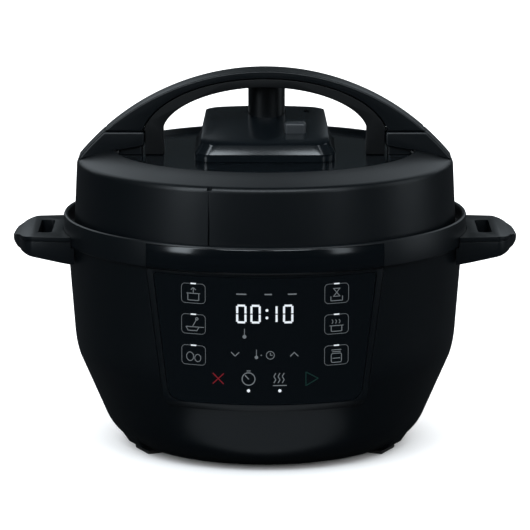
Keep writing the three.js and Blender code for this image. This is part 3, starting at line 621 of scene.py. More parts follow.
def lit(name, color, strength, spread):
    """A backlit print, a little uneven as light through a printed film is."""
    material = bpy.data.materials.new(name)
    material.use_nodes = True
    tree = material.node_tree
    shader = tree.nodes["Principled BSDF"]
    shader.inputs["Base Color"].default_value = (*color, 1.0)
    shader.inputs["Roughness"].default_value = 0.3
    shader.inputs["Emission Strength"].default_value = strength
    place = tree.nodes.new("ShaderNodeTexCoord")
    cloud = tree.nodes.new("ShaderNodeTexNoise")
    cloud.inputs["Scale"].default_value = 420.0
    tint = tree.nodes.new("ShaderNodeMix")
    tint.data_type = "RGBA"
    tint.inputs["A"].default_value = (*(channel * (1 - spread) for channel in color), 1.0)
    tint.inputs["B"].default_value = (*color, 1.0)
    tree.links.new(place.outputs["Object"], cloud.inputs["Vector"])
    tree.links.new(cloud.outputs["Fac"], tint.inputs["Factor"])
    tree.links.new(tint.outputs["Result"], shader.inputs["Emission Color"])
    return material


print_plane = -0.1400


def start_print(name):
    bpy.ops.object.select_all(action="DESELECT")
    bpy.ops.mesh.primitive_plane_add(size=0.001, location=(0, 0, 0))
    piece = bpy.context.object
    piece.name = name
    bpy.ops.object.mode_set(mode="EDIT")
    bpy.ops.mesh.delete(type="VERT")
    return piece


def bar(x, z, length, width, degrees=0.0):
    """A straight stroke, turned up from the horizontal."""
    place = (x, print_plane, z)
    bpy.ops.mesh.primitive_plane_add(size=1.0, location=place, rotation=(math.pi / 2, 0, 0))
    bpy.ops.transform.resize(value=(length, 1.0, width), center_override=place)
    bpy.ops.transform.rotate(value=math.radians(degrees), orient_axis="Y", center_override=place)


def ring(x, z, radius, line, stretch=1.0, corners=28):
    """A round, oval or cornered stroke that closes on itself."""
    place = (x, print_plane, z)
    bpy.ops.mesh.primitive_circle_add(
        vertices=corners, radius=radius, fill_type="NGON", location=place, rotation=(math.pi / 2, 0, 0)
    )
    bpy.ops.transform.resize(value=(1.0, 1.0, stretch), center_override=place)
    if line:
        bpy.ops.mesh.inset(thickness=line)
        bpy.ops.mesh.delete(type="FACE")


def rounded_frame(x, z, width, height, corner, line):
    place = (x, print_plane, z)
    bpy.ops.mesh.primitive_plane_add(size=1.0, location=place, rotation=(math.pi / 2, 0, 0))
    bpy.ops.transform.resize(value=(width, 1.0, height), center_override=place)
    bpy.ops.mesh.bevel(offset=corner, segments=5, affect="VERTICES")
    bpy.ops.mesh.inset(thickness=line)
    bpy.ops.mesh.delete(type="FACE")


def end_print(piece, material):
    """Lays the strokes on the panel's face and gives them a thin body."""
    bpy.ops.mesh.select_all(action="SELECT")
    bpy.ops.mesh.subdivide(number_cuts=2)
    bpy.ops.object.mode_set(mode="OBJECT")
    lay = piece.modifiers.new("lay", "SHRINKWRAP")
    lay.target = touch_panel
    lay.wrap_method = "PROJECT"
    lay.use_project_y = True
    lay.use_positive_direction = True
    lay.use_negative_direction = False
    lay.offset = 0.00012
    finish_modifier(piece, lay)
    body = piece.modifiers.new("body", "SOLIDIFY")
    body.thickness = 0.0001
    finish_modifier(piece, body)
    set_piece(piece, material, "base", "display")


line = 0.00042
key_x = 0.0443
key_rows = (0.1207, 0.1010, 0.0810)
key_prints = start_print("key_pictograms")
for side in (-1, 1):
    for row in key_rows:
        rounded_frame(side * key_x, row, 0.0150, 0.0127, 0.0024, 0.00022)
# Pot with an arrow rising from it.
x, z = -key_x, key_rows[0] - 0.0008
bar(x, z - 0.0036, 0.0064, line)
bar(x - 0.0034, z - 0.0014, 0.0044, line, 90)
bar(x + 0.0034, z - 0.0014, 0.0044, line, 90)
bar(x, z + 0.0008, 0.0084, line)
bar(x, z + 0.0026, 0.0034, line, 90)
bar(x - 0.0008, z + 0.0038, 0.0020, line, 45)
bar(x + 0.0008, z + 0.0038, 0.0020, line, -45)
# Pan with a spatula.
x, z = -key_x, key_rows[1] - 0.0008
bar(x - 0.0006, z - 0.0034, 0.0056, line)
bar(x - 0.0040, z - 0.0022, 0.0028, line, 118)
bar(x + 0.0028, z - 0.0022, 0.0028, line, 62)
bar(x - 0.0006, z - 0.0010, 0.0078, line)
bar(x + 0.0049, z - 0.0010, 0.0034, line)
bar(x + 0.0008, z + 0.0018, 0.0056, line, 62)
ring(x + 0.0021, z + 0.0042, 0.0010, line)
# Two eggs.
x, z = -key_x, key_rows[2] - 0.0008
ring(x - 0.0022, z - 0.0002, 0.0024, line, 1.25)
ring(x + 0.0026, z - 0.0010, 0.0021, line, 1.2)
# Hourglass over a pot.
x, z = key_x, key_rows[0] - 0.0006
bar(x, z - 0.0040, 0.0070, line)
bar(x, z + 0.0038, 0.0044, line)
bar(x, z - 0.0012, 0.0044, line)
bar(x, z + 0.0013, 0.0062, line, 52)
bar(x, z + 0.0013, 0.0062, line, -52)
bar(x - 0.0036, z - 0.0026, 0.0030, line, 90)
bar(x + 0.0036, z - 0.0026, 0.0030, line, 90)
# Pot with steam.
x, z = key_x, key_rows[1] - 0.0008
bar(x, z - 0.0038, 0.0062, line)
bar(x - 0.0033, z - 0.0020, 0.0036, line, 90)
bar(x + 0.0033, z - 0.0020, 0.0036, line, 90)
bar(x, z - 0.0002, 0.0086, line)
for shift in (-0.0022, 0.0, 0.0022):
    bar(x + shift - 0.0003, z + 0.0018, 0.0014, line, 60)
    bar(x + shift - 0.0003, z + 0.0032, 0.0014, line, 120)
# Jar with a lid.
x, z = key_x, key_rows[2] - 0.0008
rounded_frame(x, z - 0.0010, 0.0068, 0.0062, 0.0012, line)
bar(x, z + 0.0030, 0.0054, line)
bar(x, z + 0.0042, 0.0062, line)
bar(x, z - 0.0012, 0.0048, line)
# Smaller and larger, by the temperature and time key.
bar(-0.0197, 0.0830, 0.0036, line * 1.3, -45)
bar(-0.0173, 0.0830, 0.0036, line * 1.3, 45)
bar(0.0169, 0.0830, 0.0036, line * 1.3, 45)
bar(0.0193, 0.0830, 0.0036, line * 1.3, -45)
bar(-0.0053, 0.0842, 0.0040, line, 90)
ring(-0.0053, 0.0812, 0.0011, 0)
ring(-0.0023, 0.0826, 0.0004, 0, corners=12)
ring(0.0033, 0.0826, 0.0027, line)
bar(0.0033, 0.0834, 0.0018, line, 90)
bar(0.0040, 0.0826, 0.0014, line)
bar(-0.0127, 0.0972, 0.0044, line, 90)
ring(-0.0127, 0.0944, 0.0012, 0)
# Stage marks over the digits.
for x, length in ((-0.0146, 0.0062), (0.0020, 0.0046), (0.0168, 0.0054)):
    bar(x, 0.1216, length, 0.0008)
# Timer and keep-warm keys.
timer_x, warm_x, lower_z = -0.0102, 0.0092, 0.0672
ring(timer_x, lower_z, 0.0043, line * 1.4)
bar(timer_x - 0.0010, lower_z + 0.0011, 0.0034, line * 1.4, 133)
bar(timer_x, lower_z + 0.0052, 0.0024, line * 1.4)
for shift in (-0.0026, 0.0, 0.0026):
    bar(warm_x + shift - 0.0005, lower_z + 0.0028, 0.0024, line * 1.3, 60)
    bar(warm_x + shift - 0.0005, lower_z + 0.0006, 0.0024, line * 1.3, 120)
    bar(warm_x + shift - 0.0005, lower_z - 0.0015, 0.0024, line * 1.3, 60)
bar(warm_x, lower_z - 0.0042, 0.0086, line * 1.3)
end_print(key_prints, lit("key_backlight", (0.075, 0.083, 0.088), 1.0, 0.25))

lamp_prints = start_print("digits_and_lamps")
segment = 0.0013
digit_height = 0.0120
digit_width = 0.0064
digit_z = 0.1090


def digit(x, strokes):
    """A seven-segment digit: a to g, clockwise from the top, with g across the middle."""
    half = digit_height / 2 - segment / 2
    side = digit_width / 2 - segment / 2
    upright = half - segment * 0.55
    places = {
        "a": (x, digit_z + half, digit_width - segment * 1.3, 0),
        "b": (x + side, digit_z + half / 2, upright, 90),
        "c": (x + side, digit_z - half / 2, upright, 90),
        "d": (x, digit_z - half, digit_width - segment * 1.3, 0),
        "e": (x - side, digit_z - half / 2, upright, 90),
        "f": (x - side, digit_z + half / 2, upright, 90),
        "g": (x, digit_z, digit_width - segment * 1.3, 0),
    }
    for stroke in strokes:
        place_x, place_z, length, degrees = places[stroke]
        bar(place_x, place_z, length, segment, degrees)


digit(-0.0146, "abcdef")
digit(-0.0058, "abcdef")
digit(0.0046, "bc")
digit(0.0143, "abcdef")
for z in (digit_z - 0.0024, digit_z + 0.0024):
    ring(0.0012, z, 0.0009, 0, corners=16)
for side in (-1, 1):
    for row in key_rows:
        bar(side * key_x, row + 0.0063, 0.0034, 0.0008)
ring(timer_x, 0.0596, 0.0010, 0, corners=16)
ring(warm_x, 0.0596, 0.0010, 0, corners=16)
end_print(lamp_prints, lit("digit_backlight", (0.40, 0.42, 0.44), 1.0, 0.08))

cancel_print = start_print("cancel_mark")
bar(-0.0290, 0.0668, 0.0096, line * 1.5, 45)
bar(-0.0290, 0.0668, 0.0096, line * 1.5, -45)
end_print(cancel_print, lit("red_backlight", (0.090, 0.004, 0.007), 1.0, 0.15))
start_key = start_print("start_mark")
start_x, start_z = 0.0284, 0.0668
bar(start_x - 0.0030, start_z, 0.0090, line * 1.4, 90)
bar(start_x + 0.0008, start_z + 0.0022, 0.0089, line * 1.4, -30)
bar(start_x + 0.0008, start_z - 0.0022, 0.0089, line * 1.4, 30)
end_print(start_key, lit("green_backlight", (0.002, 0.012, 0.010), 1.0, 0.15))

# ---------------------------------------------------------------- Lid shell
# The lid's outer moulding: an upright skirt, a softly rounded edge and a sloping top ring.
# A fine locating groove runs down the skirt at the front left.
lid_low, lid_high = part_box("lid_shell")
skirt_bottom = lid_low.z
skirt_radius = lid_high.x
ring_top = lid_high.z
edge_radius = 0.1215
ring_inner = 0.0970
skirt_top = 0.1830
lid_outline = [(skirt_radius - 0.0005, skirt_bottom), (skirt_radius, skirt_bottom + 0.0006)]
lid_outline += [(edge_radius, skirt_top)]
lid_outline += bend((edge_radius, skirt_top), (edge_radius - 0.0002, 0.1862), (0.1185, 0.1871), 8)
lid_outline += [(0.1080, 0.1903), (ring_inner + 0.0016, ring_top - 0.0002)]
lid_outline += bend(lid_outline[-1], (ring_inner, ring_top + 0.0001), (ring_inner, ring_top - 0.0010), 4)
lid_outline += [
    (ring_inner, 0.1864),
    (0.0, 0.1864),
    (0.0, 0.1834),
    (0.0995, 0.1834),
    (0.0995, 0.1896),
    (0.1182, 0.1844),
    (0.1190, 0.1825),
    (skirt_radius - 0.0025, skirt_bottom),
]
lid_shell = spin_outline("lid_shell_moulding", lid_outline, steps=180)
groove_angle = math.radians(253.6)
groove = add_block("groove_tool", (skirt_radius - 0.0020, -0.0006, 0.140), (0.130, 0.0006, 0.1905))
notch = add_block("notch_tool", (edge_radius - 0.0022, -0.0016, 0.1842), (0.130, 0.0016, 0.1905))
for tool in (groove, notch):
    choose(tool)
    bpy.ops.object.mode_set(mode="EDIT")
    bpy.ops.mesh.select_all(action="SELECT")
    bpy.ops.transform.rotate(value=-groove_angle, orient_axis="Z", center_override=(0, 0, 0))
    bpy.ops.object.mode_set(mode="OBJECT")
    carve(lid_shell, tool)
valve_low, valve_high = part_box("steam_release_valve")
valve_x = (valve_low.x + valve_high.x) / 2
valve_y = (valve_low.y + valve_high.y) / 2
float_low, float_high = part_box("float_valve")
float_x = (float_low.x + float_high.x) / 2
float_y = (float_low.y + float_high.y) / 2
panel_low, panel_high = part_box("lid_center_panel")
lid_hole_places = [
    (valve_x, valve_y, 0.0056),
    (float_x, float_y, 0.0038),
    (-0.087, 0.0, 0.0023),
    (0.087, 0.0, 0.0023),
]


def drill(piece, low, high):
    """Drills the lid's holes through a piece."""
    for hole_x, hole_y, radius in lid_hole_places:
        carve(piece, add_rod("drill", (hole_x, hole_y, low), (hole_x, hole_y, high), radius, 32))


drill(lid_shell, 0.178, 0.195)
set_piece(lid_shell, satin_black, "lid", "satin_black", "lid_shell")

# ---------------------------------------------------------------- Lid centre panel
# A polished black disc dropped into the top ring; it mirrors the handle's pillars and the valve housing.
lid_gloss = moulded(
    "lid_gloss_plastic", (0.0020, 0.0032, 0.0044), (0.0028, 0.0042, 0.0055), 0.15, 0.06, 900.0, 0.012
)
disc_radius = panel_high.x
disc = spin_outline(
    "lid_center_gloss",
    [
        (0.0, panel_low.z),
        (disc_radius, panel_low.z),
        (disc_radius, panel_high.z - 0.0006),
        (disc_radius - 0.0006, panel_high.z),
        (0.0, panel_high.z),
    ],
    steps=180,
)
drill(disc, 0.180, 0.195)
set_piece(disc, lid_gloss, "lid", "gloss_black", "lid_center_panel")

# ---------------------------------------------------------------- Carrying handle
# An arch across the lid: an upper cap, a darker inner grip that runs down into two pillars, and two feet.
# The feet are screwed up through the lid, and the seams between the three show at the same height.
cap_low, cap_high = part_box("handle_cap")
grip_low, grip_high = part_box("handle_grip")
arch_radius = 0.156
arch_centre = cap_high.z - arch_radius
seam = cap_low.z


def arc_points(start_height, end_height, steps, centre=arch_centre, radius=arch_radius):
    """Right half of the arch's outer circle between two heights, as x and z."""
    start = math.asin((start_height - centre) / radius)
    end = math.asin(min(1.0, (end_height - centre) / radius))
    angles = [start + (end - start) * i / steps for i in range(steps + 1)]
    return [(radius * math.cos(a), centre + radius * math.sin(a)) for a in angles]


def cubic(start, control_a, control_b, end, steps):
    """Points of an S-shaped stretch, without its start."""
    points = []
    for i in range(1, steps + 1):
        t = i / steps
        weights = ((1 - t) ** 3, 3 * t * (1 - t) ** 2, 3 * t * t * (1 - t), t**3)
        corners = (start, control_a, control_b, end)
        points.append(tuple(sum(w * c[axis] for w, c in zip(weights, corners)) for axis in (0, 1)))
    return points


def arch_piece(name, outline, half_depth):
    return push_outline(name, [(x, -half_depth, z) for x, z in outline], (0.0, 2 * half_depth, 0.0))


cap_outer = arc_points(seam, cap_high.z, 40)
cap_inner = [(0.0788, seam)] + cubic((0.0788, seam), (0.0735, 0.222), (0.045, 0.239), (0.0, 0.239), 28)
outer_left = [(-x, z) for x, z in reversed(cap_outer[:-1])]
inner_left = [(-x, z) for x, z in cap_inner[:-1]]
cap_outline = cap_outer + outer_left + inner_left + list(reversed(cap_inner))
handle_cap = arch_piece("handle_cap_moulding", cap_outline, cap_high.y)
soften(handle_cap, 0.0022, 5, 50)
set_piece(handle_cap, satin_black, "lid", "satin_black", "handle_cap")

pillar_inner = 0.065
pillar_outer = 0.077
grip_foot = grip_low.z
grip_outer = [(pillar_outer, grip_foot), (pillar_outer, seam - 0.0003), (pillar_outer + 0.0013, seam)]
grip_outer += cubic(grip_outer[-1], (0.073, 0.2216), (0.045, 0.2386), (0.0, 0.2386), 24)
grip_opening = [(pillar_inner, grip_foot), (pillar_inner + 0.0005, 0.204)]
grip_opening += cubic(grip_opening[-1], (0.0665, 0.2175), (0.038, 0.233), (0.0, 0.233), 24)
outer_left = [(-x, z) for x, z in reversed(grip_outer[:-1])]
opening_left = [(-x, z) for x, z in grip_opening[:-1]]
grip_outline = grip_outer + outer_left + opening_left + list(reversed(grip_opening))
handle_grip = arch_piece("handle_grip_moulding", grip_outline, grip_high.y)
soften(handle_grip, 0.0020, 4, 50)
grip_black = moulded(
    "grip_black_plastic", (0.0001, 0.0006, 0.0012), (0.0004, 0.0011, 0.0017), 0.46, 0.08, 2600.0, 0.22
)
set_piece(handle_grip, grip_black, "lid", "satin_black", "handle_grip")

foot_low, foot_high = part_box("handle_foot_right")
foot_left = foot_low.x
foot_side = [
    (foot_left, foot_high.z),
    (foot_left, 0.1952),
    (0.0960, 0.1917),
    (0.0960, 0.1820),
    (0.1198, 0.1820),
]
foot_side += arc_points(0.1877, foot_high.z, 8)
handle_foot = arch_piece("handle_foot", foot_side, foot_high.y)
soften(handle_foot, 0.0018, 4, 50)
foot_stem = add_block("foot_stem", (foot_left + 0.0016, -0.0095, 0.188), (0.0940, 0.0095, 0.2000))
soften(foot_stem, 0.0012, 3, 50)
carve(handle_foot, foot_stem, "UNION")
lid_clearance = spin_outline(
    "lid_clearance",
    [
        (0.0, 0.170),
        (0.1265, 0.170),
        (0.1265, skirt_top + 0.0005),
        (0.1218, 0.1840),
        (0.1211, 0.1862),
        (0.1191, 0.1874),
        (ring_inner, ring_top + 0.0004),
        (0.0960, ring_top + 0.0003),
        (0.0960, panel_high.z + 0.0003),
        (0.0, panel_high.z + 0.0003),
    ],
)
carve(handle_foot, lid_clearance)
carve(handle_foot, add_rod("drill", (0.087, 0.0, 0.180), (0.087, 0.0, 0.2005), 0.0023, 32))
handle_foot.name = "handle_foot_right_moulding"
left_foot = copy_turned(handle_foot, "handle_foot_left_moulding", math.pi)
set_piece(handle_foot, satin_black, "lid", "satin_black", "handle_foot_right")
set_piece(left_foot, satin_black, "lid", "satin_black", "handle_foot_left")

# ---------------------------------------------------------------- Valve housing
# The cover over the valves: a low plinth, a narrow chamfered band and a polished top that rises to the back.
# It is one moulding, open underneath, with holes for the steam valve, the button and the float pin.
housing_low, housing_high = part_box("valve_housing")
half_width = housing_high.x
half_depth = housing_high.y
plinth_foot = housing_low.z
plinth_top = 0.1943
band_top = 0.2000
corner = 0.012
plan = []
for middle_x, middle_y, start in (
    (half_width - corner, half_depth - corner, 0.0),
    (corner - half_width, half_depth - corner, 90.0),
    (corner - half_width, corner - half_depth, 180.0),
    (half_width - corner, corner - half_depth, 270.0),
):
    for i in range(11):
        angle = math.radians(start + i * 9.0)
        plan.append((middle_x + corner * math.cos(angle), middle_y + corner * math.sin(angle), plinth_foot))
housing = draw_chain("valve_housing_gloss", plan)
bpy.ops.mesh.edge_face_add()
for rise, narrow, shorten in (
    (plinth_top - plinth_foot, 1.0, 1.0),
    (band_top - plinth_top, 0.922, 0.927),
    (0.0135, 0.928, 0.985),
    (0.0060, 0.980, 0.990),
):
    bpy.ops.mesh.extrude_region_move(TRANSFORM_OT_translate={"value": (0.0, 0.0, rise)})
    bpy.ops.transform.resize(value=(narrow, shorten, 1.0), center_override=(0.0, 0.0, 0.2))
bpy.ops.mesh.select_all(action="SELECT")
top_slope = math.atan2(0.0145, 0.074)
bpy.ops.mesh.bisect(
    plane_co=(0.0, -0.038, band_top),
    plane_no=(0.0, -math.sin(top_slope), math.cos(top_slope)),
    use_fill=True,
    clear_outer=True,
)
bpy.ops.mesh.select_all(action="SELECT")
bpy.ops.mesh.normals_make_consistent(inside=False)
bpy.ops.object.mode_set(mode="OBJECT")
crown = [(half_width + 0.001, plinth_foot - 0.001), (half_width + 0.001, 0.2118), (0.0385, 0.2131)]
crown += bend(crown[-1], (0.0190, housing_high.z - 0.0002), (0.0, housing_high.z - 0.0002), 14)
crown += [(-x, z) for x, z in reversed(crown[:-1])]
carve(housing, front_prism("crown_tool", crown, -0.05, 0.05), "INTERSECT")
soften(housing, 0.0011, 4, 18)
hollow = add_block("hollow_tool", (-0.0360, -0.0345, 0.180), (0.0360, 0.0350, 0.2170))
choose(hollow)
bpy.ops.object.mode_set(mode="EDIT")
bpy.ops.mesh.select_all(action="SELECT")
bpy.ops.mesh.bisect(
    plane_co=(0.0, -0.038, band_top - 0.0034),
    plane_no=(0.0, -math.sin(top_slope), math.cos(top_slope)),
    use_fill=True,
    clear_outer=True,
)
bpy.ops.object.mode_set(mode="OBJECT")
carve(housing, hollow)
for post_x in (-0.0140, 0.0285):
    post = add_block("lever_post", (post_x, 0.0030, 0.1935), (post_x + 0.0035, 0.0110, 0.2070))
    soften(post, 0.0006, 2, 60)
    carve(housing, post, "UNION")
carve(housing, add_rod("post_bore", (-0.020, 0.0070, 0.1970), (0.034, 0.0070, 0.1970), 0.0019, 32))
carve(
    housing,
    add_rod("nub", (0.0005, 0.0004 - half_depth, 0.1911), (0.0005, -half_depth, 0.1911), 0.0012, 24),
)
button_low, button_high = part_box("quick_release_button")
button_gap = 0.0004
carve(
    housing,
    add_rod("valve_hole", (valve_x, valve_y, 0.204), (valve_x, valve_y, 0.225), valve_high.x - valve_x + 0.0005, 64),
)
carve(housing, add_rod("float_hole", (float_x, float_y, 0.204), (float_x, float_y, 0.225), 0.0022, 32))
button_hole = add_block(
    "button_hole",
    (button_low.x - button_gap, button_low.y - button_gap, 0.195),
    (button_high.x + button_gap, button_high.y + button_gap, 0.215),
)
soften(button_hole, 0.0025, 4, 80)
carve(housing, button_hole)
set_piece(housing, lid_gloss, "lid", "gloss_black", "valve_housing")

# ---------------------------------------------------------------- Steam release valve
# The weighted knob that stands over the vent pipe: a turned satin black cap with a narrower skirt inside.
knob_radius = valve_high.x - valve_x
knob_top = valve_high.z
knob_bottom = valve_low.z
bore = 0.0054
knob_outline = [
    (bore, knob_bottom),
    (0.0088, knob_bottom),
    (0.0090, 0.2062),
    (knob_radius - 0.0008, 0.2068),
    (knob_radius, 0.2076),
    (knob_radius, 0.2286),
]
knob_outline += bend(knob_outline[-1], (knob_radius, knob_top - 0.0002), (knob_radius - 0.0034, knob_top), 7)
knob_outline += [
    (0.0062, knob_top),
    (0.0054, knob_top - 0.0008),
    (0.0, knob_top - 0.0010),
    (0.0, 0.2266),
    (bore, 0.2266),
]
knob = spin_outline("steam_valve_knob", knob_outline, steps=96)
choose(knob)
bpy.ops.object.mode_set(mode="EDIT")
bpy.ops.mesh.select_all(action="SELECT")
bpy.ops.transform.translate(value=(valve_x, valve_y, 0.0))
bpy.ops.object.mode_set(mode="OBJECT")
set_piece(knob, satin_black, "steam_release_valve", "satin_black", "steam_release_valve")

# ---------------------------------------------------------------- Quick-release button
# A small rounded key in charcoal plastic that stands out of the housing's slope, with its stem below.
charcoal = moulded(
    "charcoal_plastic", (0.017, 0.020, 0.023), (0.030, 0.034, 0.038), 0.34, 0.10, 2400.0, 0.12
)
button_head_low = 0.2010
key = add_block(
    "quick_release_key",
    (button_low.x, button_low.y, button_head_low),
    (button_high.x, button_high.y, button_high.z),
)
soften(key, 0.0020, 6, 80)
button_x = (button_low.x + button_high.x) / 2
button_y = (button_low.y + button_high.y) / 2
carve(
    key,
    add_rod("stem", (button_x, button_y, button_low.z), (button_x, button_y, 0.203), 0.0020, 24),
    "UNION",
)
set_piece(key, charcoal, "quick_release_button", "button_grey", "quick_release_button")

# ---------------------------------------------------------------- Feet
# Four soft rubber pads pressed into the base, their long sides round the rim.
rubber = moulded("foot_rubber", (0.010, 0.010, 0.010), (0.022, 0.022, 0.021), 0.72, 0.12, 1800.0, 0.45)
pad_radius = 0.082
for index, foot_angle in enumerate(foot_angles, start=1):
    pad = add_block(f"foot_pad_{index}", (-0.006, -0.0105, 0.0), (0.006, 0.0105, 0.0027))
    choose(pad)
    bpy.ops.object.mode_set(mode="EDIT")
    bpy.ops.mesh.select_all(action="SELECT")
    bpy.ops.transform.translate(value=(pad_radius, 0.0, 0.0))
    bpy.ops.transform.rotate(value=-foot_angle, orient_axis="Z", center_override=(0, 0, 0))
    bpy.ops.object.mode_set(mode="OBJECT")
    soften(pad, 0.0011, 4, 50)
    set_piece(pad, rubber, "base", "foot_rubber", f"foot_{index}")

# ---------------------------------------------------------------- Inner pot
# The removable cooking pot: drawn stainless steel with a rolled rim and a thick bonded bottom.
# Its wall carries the fine lines of the drawing and polishing, which run round it.


def worked_metal(name, color, patch_and_sheen_color, roughness, spread, lines, bump, stretch):
    """A metal with the moulded surface's tone and painted edge highlight and a grain drawn out along one direction.
    """
    material = moulded(name, color, patch_and_sheen_color, roughness, spread, lines, bump, 1.0)
    tree = material.node_tree
    place = tree.nodes["Texture Coordinate"]
    surface = tree.nodes["Group"]
    along = tree.nodes.new("ShaderNodeMapping")
    along.inputs["Scale"].default_value = stretch
    tree.links.new(place.outputs["Object"], along.inputs["Vector"])
    tree.links.new(along.outputs["Vector"], surface.inputs["Place"])
    return material


drawn_steel = worked_metal(
    "drawn_stainless_steel", (0.60, 0.60, 0.59), (0.68, 0.68, 0.67), 0.30, 0.06, 90.0, 0.05, (1.0, 1.0, 24.0)
)
pot_low, pot_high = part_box("inner_pot")
pot_radius = 0.1015
pot_foot = pot_low.z
pot_rim = pot_high.z - 0.002
pot_outline = [(0.0, pot_foot), (0.0915, pot_foot)]
pot_outline += bend((0.0915, pot_foot), (pot_radius, pot_foot), (pot_radius, pot_foot + 0.010), 10)
pot_outline += [(pot_radius, pot_rim - 0.0010)]
pot_outline += bend(pot_outline[-1], (pot_radius, pot_rim), (pot_radius + 0.001, pot_rim), 4)
pot_outline += [(0.1090, pot_rim)]
pot_outline += bend((0.1090, pot_rim), (0.1100, pot_rim), (0.1100, pot_rim + 0.001), 5)
pot_outline += bend((0.1100, pot_rim + 0.001), (0.1100, pot_rim + 0.002), (0.1090, pot_rim + 0.002), 5)
pot_outline += [(pot_radius + 0.0006, pot_rim + 0.002)]
pot_outline += bend(pot_outline[-1], (0.1007, pot_rim + 0.002), (0.1007, pot_rim + 0.0008), 4)
pot_outline += [(0.1007, pot_foot + 0.0120)]
pot_outline += bend((0.1007, pot_foot + 0.0120), (0.1007, pot_foot + 0.0024), (0.0905, pot_foot + 0.0024), 10)
pot_outline += [(0.0, pot_foot + 0.0024)]
inner_pot = spin_outline("inner_pot_steel", pot_outline, steps=160)
set_piece(inner_pot, drawn_steel, "inner_pot", "stainless_steel", "inner_pot")

# ---------------------------------------------------------------- Liner
# The can that holds the pot and the heater: zinc-coated steel with a flange whose six lugs take the lid.
# Two holes in its floor pass the heater's terminals.
zinc = worked_metal(
    "zinc_coated_steel", (0.36, 0.37, 0.37), (0.50, 0.50, 0.49), 0.38, 0.20, 60.0, 0.12, (1.0, 1.0, 3.0)
)
liner_low, liner_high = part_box("liner")
can_radius = 0.1053
flange = liner_high.z - 0.0025
liner = spin_outline(
    "liner_can",
    [
        (0.0140, liner_low.z),
        (0.0940, liner_low.z),
        (0.1000, liner_low.z + 0.0056),
        (can_radius - 0.0006, liner_low.z + 0.0110),
        (can_radius, liner_low.z + 0.0160),
        (can_radius, flange - 0.0006),
        (can_radius + 0.0006, flange),
        (0.1109, flange),
        (0.1115, flange + 0.0006),
        (0.1115, liner_high.z - 0.0006),
        (0.1109, liner_high.z),
        (can_radius - 0.0004, liner_high.z),
        (can_radius - 0.0010, liner_high.z - 0.0006),
        (can_radius - 0.0010, liner_low.z + 0.0164),
        (0.0994, liner_low.z + 0.0068),
        (0.0934, liner_low.z + 0.0010),
        (0.0140, liner_low.z + 0.0010),
    ],
    steps=144,
)


def lug_block(name, inner, outer, half_angle, low, high):
    """One lug of a bayonet ring, on the X axis, as a slice of a ring."""
    angles = [math.radians(-half_angle + 2 * half_angle * i / 10) for i in range(11)]
    points = [(outer * math.cos(a), outer * math.sin(a), low) for a in angles]
    points += [(inner * math.cos(a), inner * math.sin(a), low) for a in reversed(angles)]
    return push_outline(name, points, (0.0, 0.0, high - low))


for index in range(6):
    lug = lug_block("liner_lug", 0.1100, 0.1160, 14.0, flange, liner_high.z)
    soften(lug, 0.0006, 2)
    turned_lug = copy_turned(lug, "liner_lug_turned", math.radians(60.0 * index))
    bpy.data.objects.remove(lug)
    carve(liner, turned_lug, "UNION")
for side in (-1, 1):
    carve(liner, add_rod("terminal_hole", (side * 0.062, 0, 0.020), (side * 0.062, 0, 0.029), 0.0040, 32))
set_piece(liner, zinc, "base", "zinc_steel", "liner")

# ---------------------------------------------------------------- Heating plate and sensor
# The cast aluminium plate the pot stands on, machined in fine rings, and the spring-held sensor in its middle.
# The sensor is a spun aluminium cap that is pressed down by the pot.
cast_aluminium = worked_metal(
    "cast_aluminium", (0.42, 0.42, 0.41), (0.56, 0.56, 0.55), 0.40, 0.22, 70.0, 0.22, (1.0, 1.0, 1.0)
)
plate_low, plate_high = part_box("heating_plate")
plate_outline = [(0.0125, plate_low.z), (0.0832, plate_low.z), (0.0840, plate_low.z + 0.0008)]
plate_outline += [(0.0840, plate_high.z - 0.0026)]
plate_outline += bend(plate_outline[-1], (0.0840, plate_high.z - 0.0004), (0.0812, plate_high.z), 6)
for ring_radius in (0.0760, 0.0620, 0.0480, 0.0340, 0.0200):
    plate_outline += [
        (ring_radius + 0.0008, plate_high.z),
        (ring_radius + 0.0005, plate_high.z - 0.0004),
        (ring_radius - 0.0005, plate_high.z - 0.0004),
        (ring_radius - 0.0008, plate_high.z),
    ]
plate_outline += [(0.0131, plate_high.z), (0.0125, plate_high.z - 0.0006)]
plate = spin_outline("heating_plate_casting", plate_outline, steps=120)
set_piece(plate, cast_aluminium, "base", "cast_aluminium", "heating_plate")
sensor_low, sensor_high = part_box("temperature_sensor")
sensor_outline = [(0.0, sensor_low.z), (0.0026, sensor_low.z), (0.0030, sensor_low.z + 0.0004)]
sensor_outline += [(0.0030, 0.0366), (0.0098, 0.0366), (0.0098, 0.0345), (0.0110, 0.0345)]
sensor_outline += [(0.0110, sensor_high.z - 0.0010)]
sensor_outline += bend(sensor_outline[-1], (0.0110, sensor_high.z), (0.0100, sensor_high.z), 4)
sensor_outline += [(0.0040, sensor_high.z), (0.0036, sensor_high.z - 0.0003), (0.0, sensor_high.z - 0.0003)]
sensor = spin_outline("temperature_sensor_cap", sensor_outline, steps=64)
set_piece(sensor, cast_aluminium, "temperature_sensor", "cast_aluminium", "temperature_sensor")

